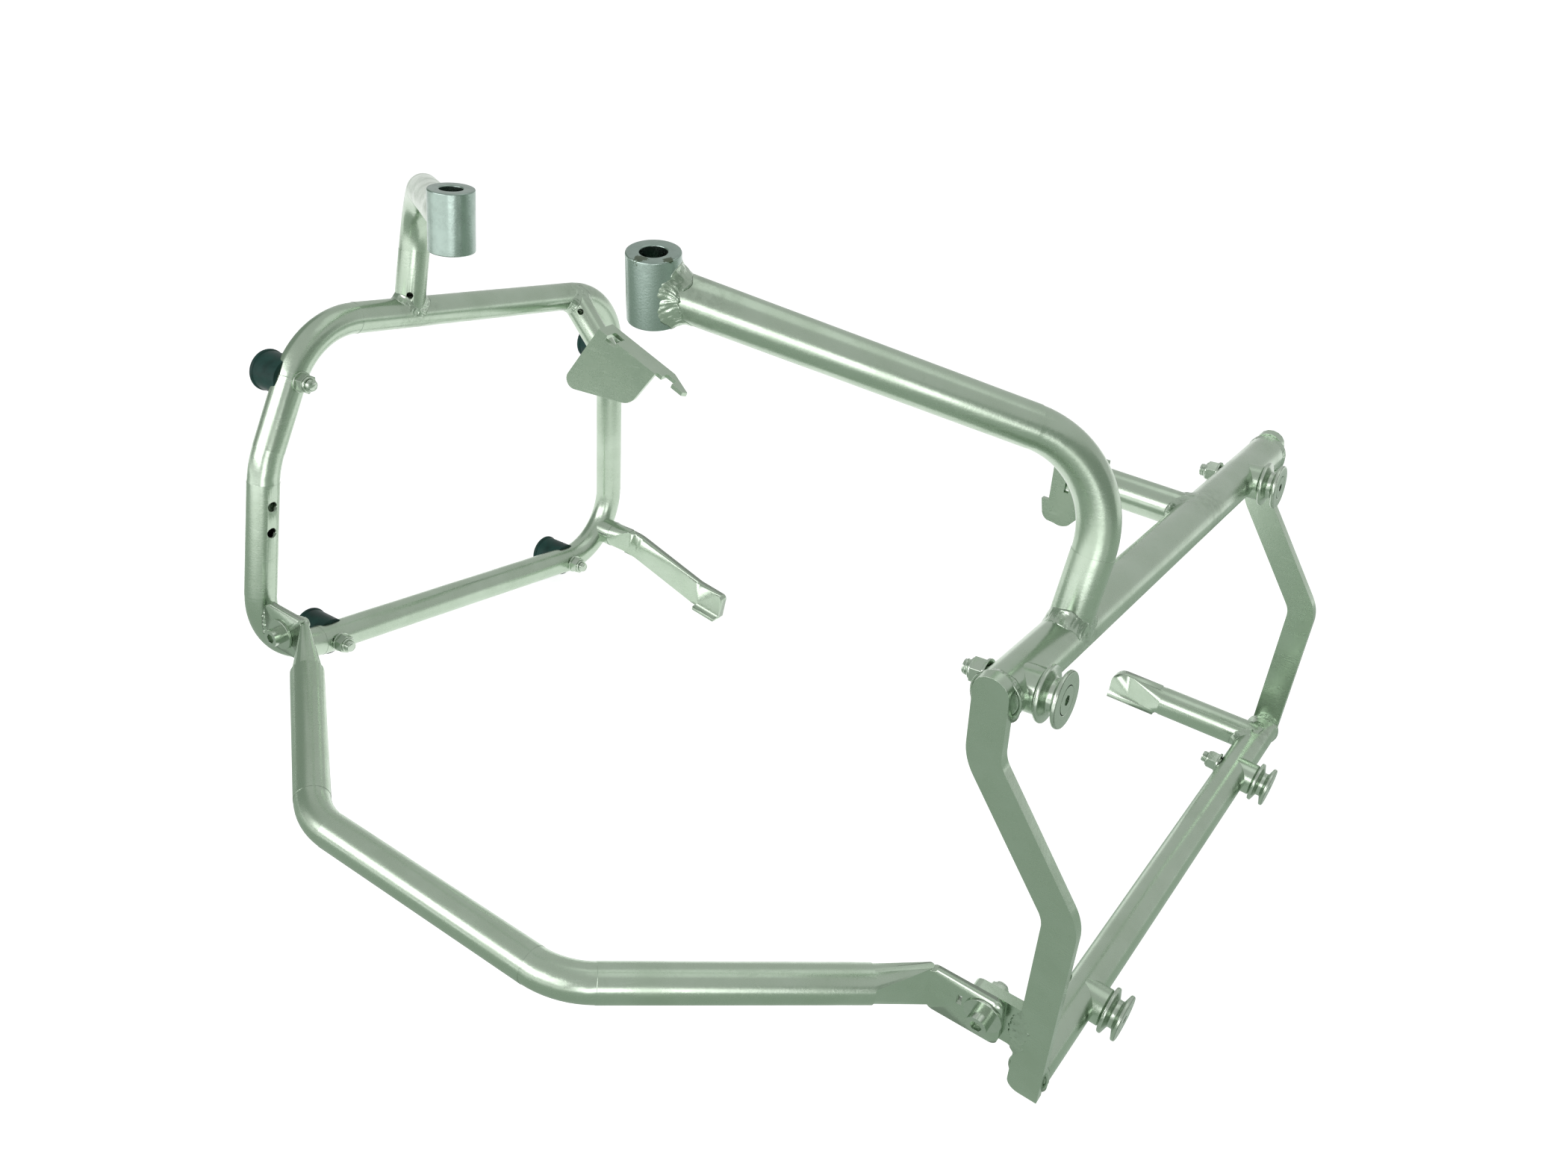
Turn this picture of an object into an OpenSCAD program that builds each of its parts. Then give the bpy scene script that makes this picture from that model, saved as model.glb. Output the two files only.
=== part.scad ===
// Pannier frame: two side carriers of bent steel tube, joined behind by a crossbar.
// X points to the right of the motorbike, Y forward, Z up, in millimetres.
// The origin is the middle of the right mounting sleeve's bore.

/* [Tube] */
// Outside diameter of the bent tube
tube_d = 18; // [16:0.5:19]
// Outside diameter of the right carrier's upper tube
upper_tube_d = 20; // [19:0.5:22]
// Wall of every tube
tube_wall = 2; // [1.5:0.25:2.5]
// Radius of the bend in the right mounting arm, on the tube's centre
right_arm_bend_r = 46; // [36:1:50]
// Radius of the bend in the left mounting arm, on the tube's centre
left_arm_bend_r = 40; // [32:1:46]

/* [Mounting sleeves] */
// Outside diameter of a sleeve
sleeve_d = 20.5; // [19.5:0.5:24]
// Length of a sleeve
sleeve_h = 27; // [24:1:34]
// Bore of a sleeve
sleeve_bore = 10.2; // [8.2:0.2:12.2]
// Distance from the middle plane to the right sleeve
right_sleeve_x = 61.5; // [56:0.5:70]
// Distance from the middle plane to the left sleeve
left_sleeve_x = 68.5; // [62:0.5:76]
// Backward lean of the right sleeve, in degrees
right_sleeve_lean = 9; // [4:0.5:12]

/* [Right carrier] */
// Distance from the middle plane to the upper tube
upper_x = 207.5; // [202:0.5:214]
// Distance from the middle plane to the lower tube
lower_x = 245; // [240:0.5:252]
// Furthest reach of the cranked plates from the middle plane
crank_x = 248.5; // [244:0.5:256]
// Depth of the upper tube below the sleeve, at its rear end
upper_drop = 127.5; // [120:0.5:134]
// Height between the upper and the lower tube at the rear
carrier_h = 198; // [192:1:206]
// Length of the carrier between the rear faces of its two plates
carrier_length = 351; // [340:1:360]
// Fall of the upper tube from rear to front
upper_fall = 11; // [4:1:14]
// Forward lean of the cranked plates towards their feet, in degrees
plate_lean = 9; // [5:0.5:12]
// Width of a cranked plate
plate_w = 15; // [13:0.5:18]
// Thickness of a cranked plate
plate_t = 5; // [4:0.5:6]
// Bend radius of a cranked plate, on its centre line
plate_bend_r = 22; // [14:1:26]

/* [Left carrier] */
// Distance from the middle plane to the hoop at its middle height
hoop_x = 231; // [226:0.5:238]
// Inward lean of the hoop towards its foot, in degrees
hoop_tilt = 2.5; // [0.5:0.5:4]
// Fall of the hoop's bars towards the front, in degrees
hoop_fall = 8; // [6:0.5:10]
// Height between the hoop's bars, on their centres
hoop_h = 196; // [190:1:204]
// Length of the hoop at its foot, on the tube's centre
hoop_length = 307; // [300:1:316]
// Corner radius of the hoop, on the tube's centre
hoop_corner_r = 42; // [36:1:46]

/* [Case fittings] */
// Thread diameter of the case screws
screw_d = 6; // [5:1:6]
// Clearance round a screw in its hole
hole_gap = 0.5; // [0.2:0.1:1]
// Diameter of a spool's flanges
spool_d = 23; // [20:0.5:26]
// Length of a spool
spool_h = 9; // [8:0.5:12]
// Distance from a right tube's centre to the face of the collar on it
collar_reach = 13; // [12:0.5:16]
// Diameter of a rubber puck
puck_d = 22.5; // [20:0.5:28]
// Height of a rubber puck above its tube
puck_h = 11.5; // [10:0.5:16]

/* [Crossbar] */
// Length of the crossbar's middle run, between its bend vertices
crossbar_middle = 158; // [150:1:166]
// Distance of the middle run behind the sleeves
crossbar_back = 60; // [54:1:66]
// Depth of the middle run below the sleeves
crossbar_drop = 286.5; // [280:0.5:292]
// Bend radius of the crossbar, on the tube's centre
crossbar_bend_r = 40; // [30:1:50]
// Height of a flattened crossbar end
flat_h = 26; // [24:0.5:28]
// Thickness of a flattened crossbar end
flat_t = 4; // [3.5:0.25:4.5]
// Thread diameter of the crossbar screws
bar_screw_d = 6; // [5:1:6]
// Thickness of the welded tabs
tab_t = 5; // [4:0.5:6]
// Height of the welded tabs
tab_h = 26; // [24:0.5:28]

/* [Brackets and lower arms] */
// Sheet thickness of the front brackets
bracket_t = 3; // [2.5:0.5:4]
// Width of the folded flange of a front bracket
flange_w = 11; // [8:0.5:14]
// Thickness of the pressed end of a lower arm
pressed_t = 6; // [4:0.5:8]

/* [Hidden] */
$fn = 48;
hull_fn = 32;
arc_steps = 8;
// A bend is thinner than its straight lengths by this much all round, and they run into it by the overlap
bend_squeeze = 0.15;
overlap = 0.5;
// A flattened end starts inside its round tube by this much all round
shoulder = 0.3;
bar_shoulder = 0.6;
upper_r = upper_tube_d / 2;
tube_r = tube_d / 2;
screw_hole_d = screw_d + hole_gap;
bar_hole_d = bar_screw_d + hole_gap;

function unit(v) = v / norm(v);
function on_line(p, q, share) = p + (q - p) * share;
// Angle turned at b on the way from a to c
function turn(a, b, c) = acos(min(1, max(-1, unit(b - a) * unit(c - b))));
// Length that a bend of radius r takes from each leg at b
function setback(a, b, c, r) = r * tan(turn(a, b, c) / 2);
// Points of a flat outline: round stretches and the two sides of a strip that bends
function spun(v, a) = [v[0] * cos(a) - v[1] * sin(a), v[0] * sin(a) + v[1] * cos(a)];
function arc_points(centre, r, from, to) =
    [for (k = [0:arc_steps]) centre + r * spun([1, 0], from + (to - from) * k / arc_steps)];
function left_of(a, b) = spun(unit(b - a), 90);
function turned_left(a, b, c) = left_of(a, b) * unit(c - b) > 0 ? 1 : -1;
function corner_points(a, b, c, r, off) =
    let (side = turned_left(a, b, c))
    let (normal = left_of(a, b))
    let (start = b - unit(b - a) * setback(a, b, c, r))
    let (centre = start + side * r * normal)
    [for (k = [0:arc_steps])
        centre + spun((off - side * r) * normal, side * turn(a, b, c) * k / arc_steps)];
function strip_side(points, r, off) =
    let (last = len(points) - 1)
    concat(
        [points[0] + off * left_of(points[0], points[1])],
        [for (i = [1:1:last - 1]) each corner_points(points[i - 1], points[i], points[i + 1], r, off)],
        [points[last] + off * left_of(points[last - 1], points[last])]);
// Quarter circle that rounds the left corner of a strip's end at b, on the way from a to b
function end_corner(a, b, half, r) =
    let (dir = unit(b - a))
    let (centre = b - r * dir + (half - r) * left_of(a, b))
    [for (k = [0:arc_steps]) centre + r * spun(dir, 90 - 90 * k / arc_steps)];
// The same for the right corner, from the tip back
function end_corner_right(a, b, half, r) =
    let (dir = unit(b - a))
    let (centre = b - r * dir - (half - r) * left_of(a, b))
    [for (k = [0:arc_steps]) centre + r * spun(dir, -90 * k / arc_steps)];
function without_last(list) = [for (i = [0:len(list) - 2]) list[i]];
function backwards(list) = [for (i = [len(list) - 1:-1:0]) list[i]];

// Right carrier: its rear plate's rear face crosses the tubes' centres at rear_y
rear_y = 26.5;
upper_rear = [upper_x, rear_y, -upper_drop];
upper_front = [upper_x, rear_y + carrier_length, -upper_drop - upper_fall];
lower_z = -upper_drop - carrier_h;
lower_rear = [lower_x, rear_y + carrier_h * tan(plate_lean), lower_z];
lower_front = [lower_x, upper_front[1] + (carrier_h - upper_fall) * tan(plate_lean), lower_z];
upper_dir = unit(upper_front - upper_rear);
function on_upper(y) = on_line(upper_rear, upper_front, (y - rear_y) / carrier_length);
right_sleeve_mid = [right_sleeve_x, 0, 0];
right_sleeve_turn = [right_sleeve_lean, 2.5, 0];
right_arm_foot = on_upper(95.5);
right_arm_knee = [upper_x + 3.5, 110, -55];
// Heights on a cranked plate, down from the upper tube: end of the upper stretch, start of the lower
crank_top = 29;
crank_foot = 94;
cap_rise = 4.5;
rear_tail = 11;
plate_foot_r = 6;
front_tail = 8;

// Left carrier: the hoop lies in a plane of its own, with u forward and v up from its middle
hoop_mid_z = -225;
rear_lean = 8.5;
hoop_slope = tan(hoop_fall);
hoop_back_y = 19.5;
hoop_front_y = hoop_back_y + hoop_length;
foot_v = -77;
function bar_v(y, top) = foot_v - (y - hoop_back_y) * hoop_slope + (top ? hoop_h / cos(hoop_fall) : 0);
function rear_u(v) = hoop_back_y + (v - foot_v) * tan(rear_lean);
neck_v = 40;
neck_y = rear_u(neck_v);
neck_bend_r = 60;
shoulder_lean = 27;
shoulder_rise = (bar_v(neck_y, true) - neck_v) / (1 + hoop_slope * tan(shoulder_lean));
shoulder_y = neck_y + shoulder_rise * tan(shoulder_lean);
hoop_outline = [
    [hoop_back_y, foot_v],
    [neck_y, neck_v],
    [shoulder_y, bar_v(shoulder_y, true)],
    [hoop_front_y, bar_v(hoop_front_y, true)],
    [hoop_front_y, bar_v(hoop_front_y, false)]];
hoop_radii = [hoop_corner_r, neck_bend_r, hoop_corner_r + 3, hoop_corner_r + 3, hoop_corner_r];
// A point (u, v) of the hoop's plane as a place in the whole part
function hoop_place(u, v) = [
    -hoop_x - v * sin(hoop_tilt),
    u,
    hoop_mid_z + v * cos(hoop_tilt)];
hoop_inward = [cos(hoop_tilt), 0, sin(hoop_tilt)];
left_sleeve_mid = [-left_sleeve_x, 24, -9];
left_arm_foot_y = 146;
left_arm_foot = hoop_place(left_arm_foot_y, bar_v(left_arm_foot_y, true));
left_arm_knee = left_arm_foot + [-1.5, 12, 73];
drain_v = [18.6, 3.4];
drain_d = 6;
vent_d = 4;
// Vent holes face the rear and the middle plane, this far up from the tube that carries the piece
arm_vent_rise = 12;
stub_vent_reach = 10;
vent_dir = [0.7, -0.7, 0.1];

// Fittings: places on the tubes' centres and tilt of each axis, upwards as it goes outwards
left_fittings = [
    hoop_place(neck_y + 45 * tan(shoulder_lean), neck_v + 45),
    hoop_place(hoop_front_y, bar_v(hoop_front_y, true) - 40),
    hoop_place(70, bar_v(70, false)),
    hoop_place(278, bar_v(278, false))];
right_fittings = [
    on_upper(46.5),
    on_upper(326),
    [lower_x, 122, lower_z],
    [lower_x, 349, lower_z]];
right_tilts = [5, 5, -4, -4];
right_radii = [upper_r, upper_r, tube_r, tube_r];
CORNERS = ["upper_rear", "upper_front", "lower_rear", "lower_front"];

// Screws, nuts and washers
washer_t = 1.2;
washer_d = 2 * screw_d;
nut_h = 0.83 * screw_d;
nut_flats = 1.65 * screw_d;
screw_end = 4;
head_d = 2 * screw_d;
head_h = 0.6 * screw_d;
hex_key = 0.65 * screw_d;
waist_d = 14;
collar_d = 18.5;
collar_bevel = 1;
spool_rim = 1.8;
spool_edge = 0.5;
groove_slope = 1.6;
puck_recess = 5;

// Crossbar: bolt places, creases of the flattened ends and elbows of the bent tube
right_bolt_x = 224.4;
right_bolt_down = 164.2;
right_bolt = [right_bolt_x - upper_x, -right_bolt_down / cos(plate_lean)];
left_bolt = [-203.6, 23, -273.2];
flat_r = 4;
flat_tail = 28;
flat_nose = 7.5;
left_nose = 14;
left_tail = 18.6;
// Each flat is lifted by this much from its bolt
right_lift = -3.4;
left_lift = 1.2;
// Reach of the tabs from their bolts, and their tops above them
tab_top = 9.6;
left_tab_l = 27.4;
right_tab_l = 9;
tab_fillet_r = 5;
// The rear plate's inner edge, from the right bolt
tab_edge = (lower_x + crank_x) / 2 - plate_w / 2 - right_bolt_x;
bar_washer_d = 18;
bar_washer_t = 1.6;
bar_head_d = 10;
bar_head_h = 6;
bar_hex_key = 5;
bar_nut_h = 5;
bar_nut_flats = 10;
bar_screw_end = 3;
slot_w = 2.5;
slot_l = 6;
slot_reach = 12;
right_crease = upper_rear + [
    right_bolt[0] - flat_tail,
    right_bolt_down * tan(plate_lean) - flat_t / 2,
    -right_bolt_down + right_lift];
left_crease = left_bolt + [left_tail, -flat_t / 2, left_lift];
right_elbow = [crossbar_middle / 2, -crossbar_back, -crossbar_drop];
left_elbow = [-crossbar_middle / 2, -crossbar_back, -crossbar_drop];
flatten_length = 26;
right_squash = right_crease + unit(right_elbow - right_crease) * flatten_length;
left_squash = left_crease + unit(left_elbow - left_crease) * flatten_length;

// Front brackets and lower arms
left_stub_foot = hoop_place(288, bar_v(288, true));
left_stub_dir = unit([1, 0, -1]);
left_stub_length = 52;
left_bracket_corner = [-200, 279, -153];
bracket_edge_fall = 19.5;
bracket_edge_length = 52;
flange_nose = 22;
// Relief slots where a flange is folded
relief_x = 8;
relief_l = 8.5;
relief_depth = 4;
left_arm_root = [-226.5, 316, -326];
// The left lower arm is pressed from the first of these lengths on, and its strip runs on along points
left_press_at = 15;
left_press_l = 15;
left_strip = [[28, -0.5], [38, -1], [94.5, -17.5], [117, -20.5]];
left_strip_h = 17.5;
left_corner_r = 3;
left_lip_l = 19;
left_lip_w = 6;
right_stub_y = 258;
right_stub_reach = 66;
right_arm_y = 388;
right_lower_reach = 93;
right_arm_rise = 2;
// The right bracket's inner edge, from the tube's centre, its width and its top above the stub
right_bracket_edge = -73;
right_bracket_w = 24;
right_bracket_top = 13;
// The right lower arm is pressed over its last stretch
right_press_at = 34;
right_press_l = 20;
right_corner_r = 8;
right_lip_l = 31;
right_lip_w = 3;
pressed_bend_r = 30;
lip_t = 3;

// Colours of the photographed object
zinc = [0.68, 0.75, 0.68];
bright_zinc = [0.8, 0.85, 0.8];
rubber = [0.07, 0.12, 0.11];

// Places its children with their x and z along two given directions
module frame_at(origin, x_dir, z_dir) {
    y_dir = cross(z_dir, x_dir);
    multmatrix([
        [x_dir[0], y_dir[0], z_dir[0], origin[0]],
        [x_dir[1], y_dir[1], z_dir[1], origin[1]],
        [x_dir[2], y_dir[2], z_dir[2], origin[2]],
        [0, 0, 0, 1]])
        children();
}

// Rod of diameter d from p to q
module rod(p, q, d) {
    dir = unit(q - p);
    ref = abs(dir[2]) < 0.9 ? [0, 0, 1] : [0, 1, 0];
    frame_at(p, unit(cross(dir, ref)), dir)
        cylinder(d = d, h = norm(q - p));
}

// One bend at b between the directions of ab and bc
module bend(a, b, c, r, d) {
    d_in = unit(b - a);
    d_out = unit(c - b);
    start = b - d_in * setback(a, b, c, r);
    inward = unit(d_out - (d_in * d_out) * d_in);
    frame_at(start + r * inward, -inward, unit(cross(d_in, d_out)))
        rotate_extrude(angle = turn(a, b, c))
            translate([r, 0])
                circle(d = d);
}

// Direction square to the leg a-b, away from the side that the rod turns to at b
function outward(a, b, c) = unit((unit(b - a) * unit(c - b)) * unit(b - a) - unit(c - b));

// A straight length runs a little way into the bend at each end that has one.
// It is turned so that its own x points out of the bend beside it.
module length_between(p, q, cut_p, cut_q, out, d) {
    dir = unit(q - p);
    from = p + dir * (cut_p == 0 ? 0 : cut_p - overlap);
    to = q - dir * (cut_q == 0 ? 0 : cut_q - overlap);
    frame_at(from, unit(out - (out * dir) * dir), dir)
        cylinder(d = d, h = norm(to - from));
}

// Bent rod through the points, with a bend of its own radius at each inner point.
// Bending draws the tube in, so a bend is thinner all round.
module bent_rod(points, radii, d) {
    last = len(points) - 1;
    cut = [for (i = [0:last])
        i == 0 || i == last ? 0 : setback(points[i - 1], points[i], points[i + 1], radii[i - 1])];
    for (i = [0:last - 1]) {
        k = min(i, last - 2);
        length_between(points[i], points[i + 1], cut[i], cut[i + 1],
            outward(points[k], points[k + 1], points[k + 2]), d);
    }
    for (i = [1:last - 1])
        bend(points[i - 1], points[i], points[i + 1], radii[i - 1], d - 2 * bend_squeeze);
}

// Bent rod that closes on itself
module bent_ring(points, radii, d) {
    n = len(points);
    cut = [for (i = [0:n - 1])
        setback(points[(i + n - 1) % n], points[i], points[(i + 1) % n], radii[i])];
    for (i = [0:n - 1]) {
        j = (i + 1) % n;
        length_between(points[i], points[j], cut[i], cut[j],
            outward(points[i], points[j], points[(i + 2) % n]), d);
        bend(points[(i + n - 1) % n], points[i], points[j], radii[i], d - 2 * bend_squeeze);
    }
}

module from_sleeve() {
    translate([-right_sleeve_x, 0, 0])
        children();
}

hoop_corners = [for (p = hoop_outline) hoop_place(p[0], p[1])];

module hoop_solid(d) {
    bent_ring(hoop_corners, hoop_radii, d);
}

// One bend of the hoop by itself
module hoop_bend(i) {
    n = len(hoop_corners);
    bend(hoop_corners[(i + n - 1) % n], hoop_corners[i], hoop_corners[(i + 1) % n], hoop_radii[i],
        tube_d - 2 * bend_squeeze);
}

// Local z points outwards along a fitting's axis, from the tube's centre
module at_left_fitting(i) {
    translate(left_fittings[i])
        rotate([0, -90 - hoop_tilt, 0])
            children();
}

module at_right_fitting(i) {
    translate(right_fittings[i])
        rotate([0, 90 - right_tilts[i], 0])
            children();
}

module screw_hole() {
    cylinder(d = screw_hole_d, h = 4 * tube_d, center = true);
}

module left_hoop() {
    color(zinc)
        difference() {
            hoop_solid(tube_d);
            hoop_solid(tube_d - 2 * tube_wall);
            for (i = [0:3])
                at_left_fitting(i)
                    screw_hole();
            for (v = drain_v) {
                mid = hoop_place(rear_u(v), v);
                rod(mid - hoop_inward * tube_d, mid + hoop_inward * tube_d, drain_d);
            }
        }
}

module sleeve(mid, turned) {
    translate(mid)
        rotate(turned)
            difference() {
                cylinder(d = sleeve_d, h = sleeve_h, center = true);
                cylinder(d = sleeve_bore, h = sleeve_h + 2, center = true);
            }
}

// Mounting arm: hollow, coped to the sleeve at its start and to the tube p-q at its foot
module arm(sleeve_mid, knee, foot, bend_r, sleeve_turn, cope_d, cope_p, cope_q) {
    difference() {
        bent_rod([sleeve_mid, knee, foot], [bend_r], tube_d);
        bent_rod([sleeve_mid, knee, foot], [bend_r], tube_d - 2 * tube_wall);
        translate(sleeve_mid)
            rotate(sleeve_turn)
                cylinder(d = sleeve_d, h = 2 * sleeve_h, center = true);
        rod(cope_p, cope_q, cope_d);
    }
}

module right_arm() {
    color(zinc)
        arm(right_sleeve_mid, right_arm_knee, right_arm_foot, right_arm_bend_r, right_sleeve_turn,
            upper_tube_d, upper_rear, upper_front);
}

module left_arm() {
    foot_dir = unit(left_arm_knee - left_arm_foot);
    vent = left_arm_foot + foot_dir * arm_vent_rise;
    color(zinc)
        difference() {
            arm(left_sleeve_mid, left_arm_knee, left_arm_foot + foot_dir * tube_r / 3, left_arm_bend_r,
                [0, 0, 0], tube_d, hoop_place(100, bar_v(100, true)), hoop_place(200, bar_v(200, true)));
            rod(vent, vent + vent_dir * tube_d, vent_d);
        }
}

module right_sleeve() {
    color(bright_zinc)
        sleeve(right_sleeve_mid, right_sleeve_turn);
}

module left_sleeve() {
    color(bright_zinc)
        sleeve(left_sleeve_mid, [0, 0, 0]);
}

// Frame of a cranked plate: origin where its rear face meets the upper tube's centre,
// x to the right, y up the plate, z forward out of the plate
module plate_frame(origin) {
    translate(origin)
        rotate([90 + plate_lean, 0, 0])
            mirror([0, 0, 1])
                children();
}

// Outline of a cranked plate whose lower tube lies drop below the upper one
module plate_outline(drop, tail) {
    slant = cos(plate_lean);
    route = [
        [0, cap_rise],
        [0, -crank_top / slant],
        [crank_x - upper_x, -crank_foot / slant],
        [lower_x - upper_x, (-drop - tail) / slant]];
    half = plate_w / 2;
    polygon(concat(
        backwards(strip_side(route, plate_bend_r, half)),
        arc_points([0, cap_rise], half, 0, 180),
        without_last(strip_side(route, plate_bend_r, -half)),
        backwards(end_corner_right(route[2], route[3], half, plate_foot_r))));
}

module cranked_plate(origin, drop, tail) {
    plate_frame(origin)
        linear_extrude(height = plate_t)
            plate_outline(drop, tail);
}

module right_rear_plate() {
    color(zinc)
        cranked_plate(upper_rear, carrier_h, rear_tail);
}

module right_front_plate() {
    color(zinc)
        cranked_plate(upper_front, carrier_h - upper_fall, front_tail);
}

// Keeps what lies between the two cranked plates
module between_plates() {
    reach = 600;
    intersection() {
        children();
        plate_frame(upper_rear)
            translate([-reach / 2, -reach / 2, plate_t])
                cube(reach);
        plate_frame(upper_front)
            translate([-reach / 2, -reach / 2, -reach])
                cube(reach);
    }
}

module right_upper_tube() {
    run = 10 * upper_dir;
    color(zinc)
        difference() {
            between_plates()
                rod(upper_rear - run, upper_front + run, upper_tube_d);
            rod(upper_rear - 2 * run, upper_front + 2 * run, upper_tube_d - 2 * tube_wall);
            for (i = [0:1])
                at_right_fitting(i)
                    screw_hole();
        }
}

module right_lower_tube() {
    run = [0, 10, 0];
    color(zinc)
        difference() {
            between_plates()
                rod(lower_rear - run, lower_front + run, tube_d);
            rod(lower_rear - 2 * run, lower_front + 2 * run, tube_d - 2 * tube_wall);
            for (i = [2:3])
                at_right_fitting(i)
                    screw_hole();
        }
}

// Case fittings
module left_puck(i) {
    color(rubber)
        difference() {
            at_left_fitting(i)
                cylinder(d = puck_d, h = tube_r + puck_h);
            at_left_fitting(i)
                translate([0, 0, tube_r + puck_h - puck_recess])
                    cylinder(d = head_d, h = puck_recess + 1);
            at_left_fitting(i)
                screw_hole();
            hoop_solid(tube_d);
        }
}

module screw(head_z, tip_z, d, top_d, top_h, key) {
    difference() {
        union() {
            translate([0, 0, head_z])
                cylinder(d = top_d, h = top_h);
            translate([0, 0, tip_z])
                cylinder(d = d, h = head_z - tip_z + top_h / 2);
        }
        translate([0, 0, head_z + top_h / 2])
            cylinder(d = key / cos(30), h = top_h, $fn = 6);
    }
}

module washer(z, d, hole_d, t) {
    translate([0, 0, z])
        difference() {
            cylinder(d = d, h = t);
            translate([0, 0, -1])
                cylinder(d = hole_d, h = t + 2);
        }
}

module nut(z, flats, hole_d, h) {
    translate([0, 0, z])
        difference() {
            cylinder(d = flats / cos(30), h = h, $fn = 6);
            translate([0, 0, -1])
                cylinder(d = hole_d, h = h + 2);
        }
}

module left_puck_screws() {
    seat = tube_r + puck_h - puck_recess;
    color(bright_zinc)
        for (i = [0:3])
            at_left_fitting(i)
                screw(seat, -tube_r - washer_t - nut_h - screw_end, screw_d, head_d - hole_gap, head_h, hex_key);
}

module left_puck_washers() {
    color(bright_zinc)
        for (i = [0:3])
            at_left_fitting(i)
                washer(-tube_r - washer_t, washer_d, screw_hole_d, washer_t);
}

module left_puck_nuts() {
    color(bright_zinc)
        for (i = [0:3])
            at_left_fitting(i)
                nut(-tube_r - washer_t - nut_h, nut_flats, screw_d, nut_h);
}

module right_collar(i) {
    rim = collar_d / 2;
    color(zinc)
        difference() {
            at_right_fitting(i)
                rotate_extrude()
                    polygon([[0, 0], [rim, 0], [rim, collar_reach - collar_bevel],
                        [rim - collar_bevel, collar_reach], [0, collar_reach]]);
            at_right_fitting(i)
                screw_hole();
            if (i < 2)
                rod(upper_rear, upper_front, upper_tube_d);
            else
                rod(lower_rear, lower_front, tube_d);
        }
}

// Half section of a spool: two rims with a groove between them, whose sides slope to the waist
module spool_profile() {
    rim = spool_d / 2;
    waist = waist_d / 2;
    polygon([
        [0, 0], [rim - spool_edge, 0], [rim, spool_edge], [rim, spool_rim],
        [waist, spool_rim + groove_slope], [waist, spool_h - spool_rim - groove_slope],
        [rim, spool_h - spool_rim], [rim, spool_h - spool_edge], [rim - spool_edge, spool_h], [0, spool_h]]);
}

module right_spool(i) {
    color(bright_zinc)
        at_right_fitting(i)
            translate([0, 0, collar_reach])
                difference() {
                    rotate_extrude()
                        spool_profile();
                    translate([0, 0, spool_h - head_h])
                        cylinder(d = head_d, h = head_h + 1);
                    screw_hole();
                }
}

module right_spool_screws() {
    color(bright_zinc)
        for (i = [0:3])
            at_right_fitting(i)
                screw(collar_reach + spool_h - head_h,
                    -right_radii[i] - washer_t - nut_h - screw_end,
                    screw_d, head_d - hole_gap, head_h, hex_key);
}

module right_spool_washers() {
    color(bright_zinc)
        for (i = [0:3])
            at_right_fitting(i)
                washer(-right_radii[i] - washer_t, washer_d, screw_hole_d, washer_t);
}

module right_spool_nuts() {
    color(bright_zinc)
        for (i = [0:3])
            at_right_fitting(i)
                nut(-right_radii[i] - washer_t - nut_h, nut_flats, screw_d, nut_h);
}

// Crossbar bolts: local z points forward from the face that the tab and the crossbar share
module at_right_bolt() {
    plate_frame(upper_rear)
        translate(right_bolt)
            children();
}

module at_left_bolt() {
    translate(left_bolt)
        rotate([-90, 0, 0])
            children();
}

// Flat sheet with round corners, seen along local z
module rounded_sheet(x0, x1, y0, y1, r, t) {
    linear_extrude(height = t)
        polygon(concat(
            arc_points([x1 - r, y1 - r], r, 0, 90),
            arc_points([x0 + r, y1 - r], r, 90, 180),
            arc_points([x0 + r, y0 + r], r, 180, 270),
            arc_points([x1 - r, y0 + r], r, 270, 360)));
}

// The right tab runs into the rear plate's inner edge, with a fillet under it
module right_tab() {
    foot = tab_top - tab_h;
    color(zinc)
        difference() {
            at_right_bolt()
                difference() {
                    linear_extrude(height = tab_t)
                        polygon(concat(
                            arc_points([flat_r - right_tab_l, tab_top - flat_r], flat_r, 90, 180),
                            arc_points([flat_r - right_tab_l, foot + flat_r], flat_r, 180, 270),
                            arc_points([tab_edge - tab_fillet_r, foot - tab_fillet_r], tab_fillet_r, 90, 0),
                            [[tab_edge + plate_w / 2, foot - tab_fillet_r],
                                [tab_edge + plate_w / 2, tab_top]]));
                    cylinder(d = bar_hole_d, h = 4 * tab_t, center = true);
                }
            plate_frame(upper_rear)
                translate([0, 0, -1])
                    linear_extrude(height = plate_t + 2)
                        plate_outline(carrier_h, rear_tail);
        }
}

module left_tab() {
    color(zinc)
        difference() {
            at_left_bolt()
                difference() {
                    rounded_sheet(-left_tab_l, tab_h / 2, -tab_top, tab_h - tab_top, flat_r, tab_t);
                    cylinder(d = bar_hole_d, h = 4 * tab_t, center = true);
                }
            hoop_solid(tube_d);
        }
}

// The round edge that a flattened tube ends in, where its flat begins
module flat_edge() {
    cylinder(d = flat_t - 2 * bend_squeeze, h = flat_h - 1, center = true, $fn = hull_fn);
}

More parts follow.
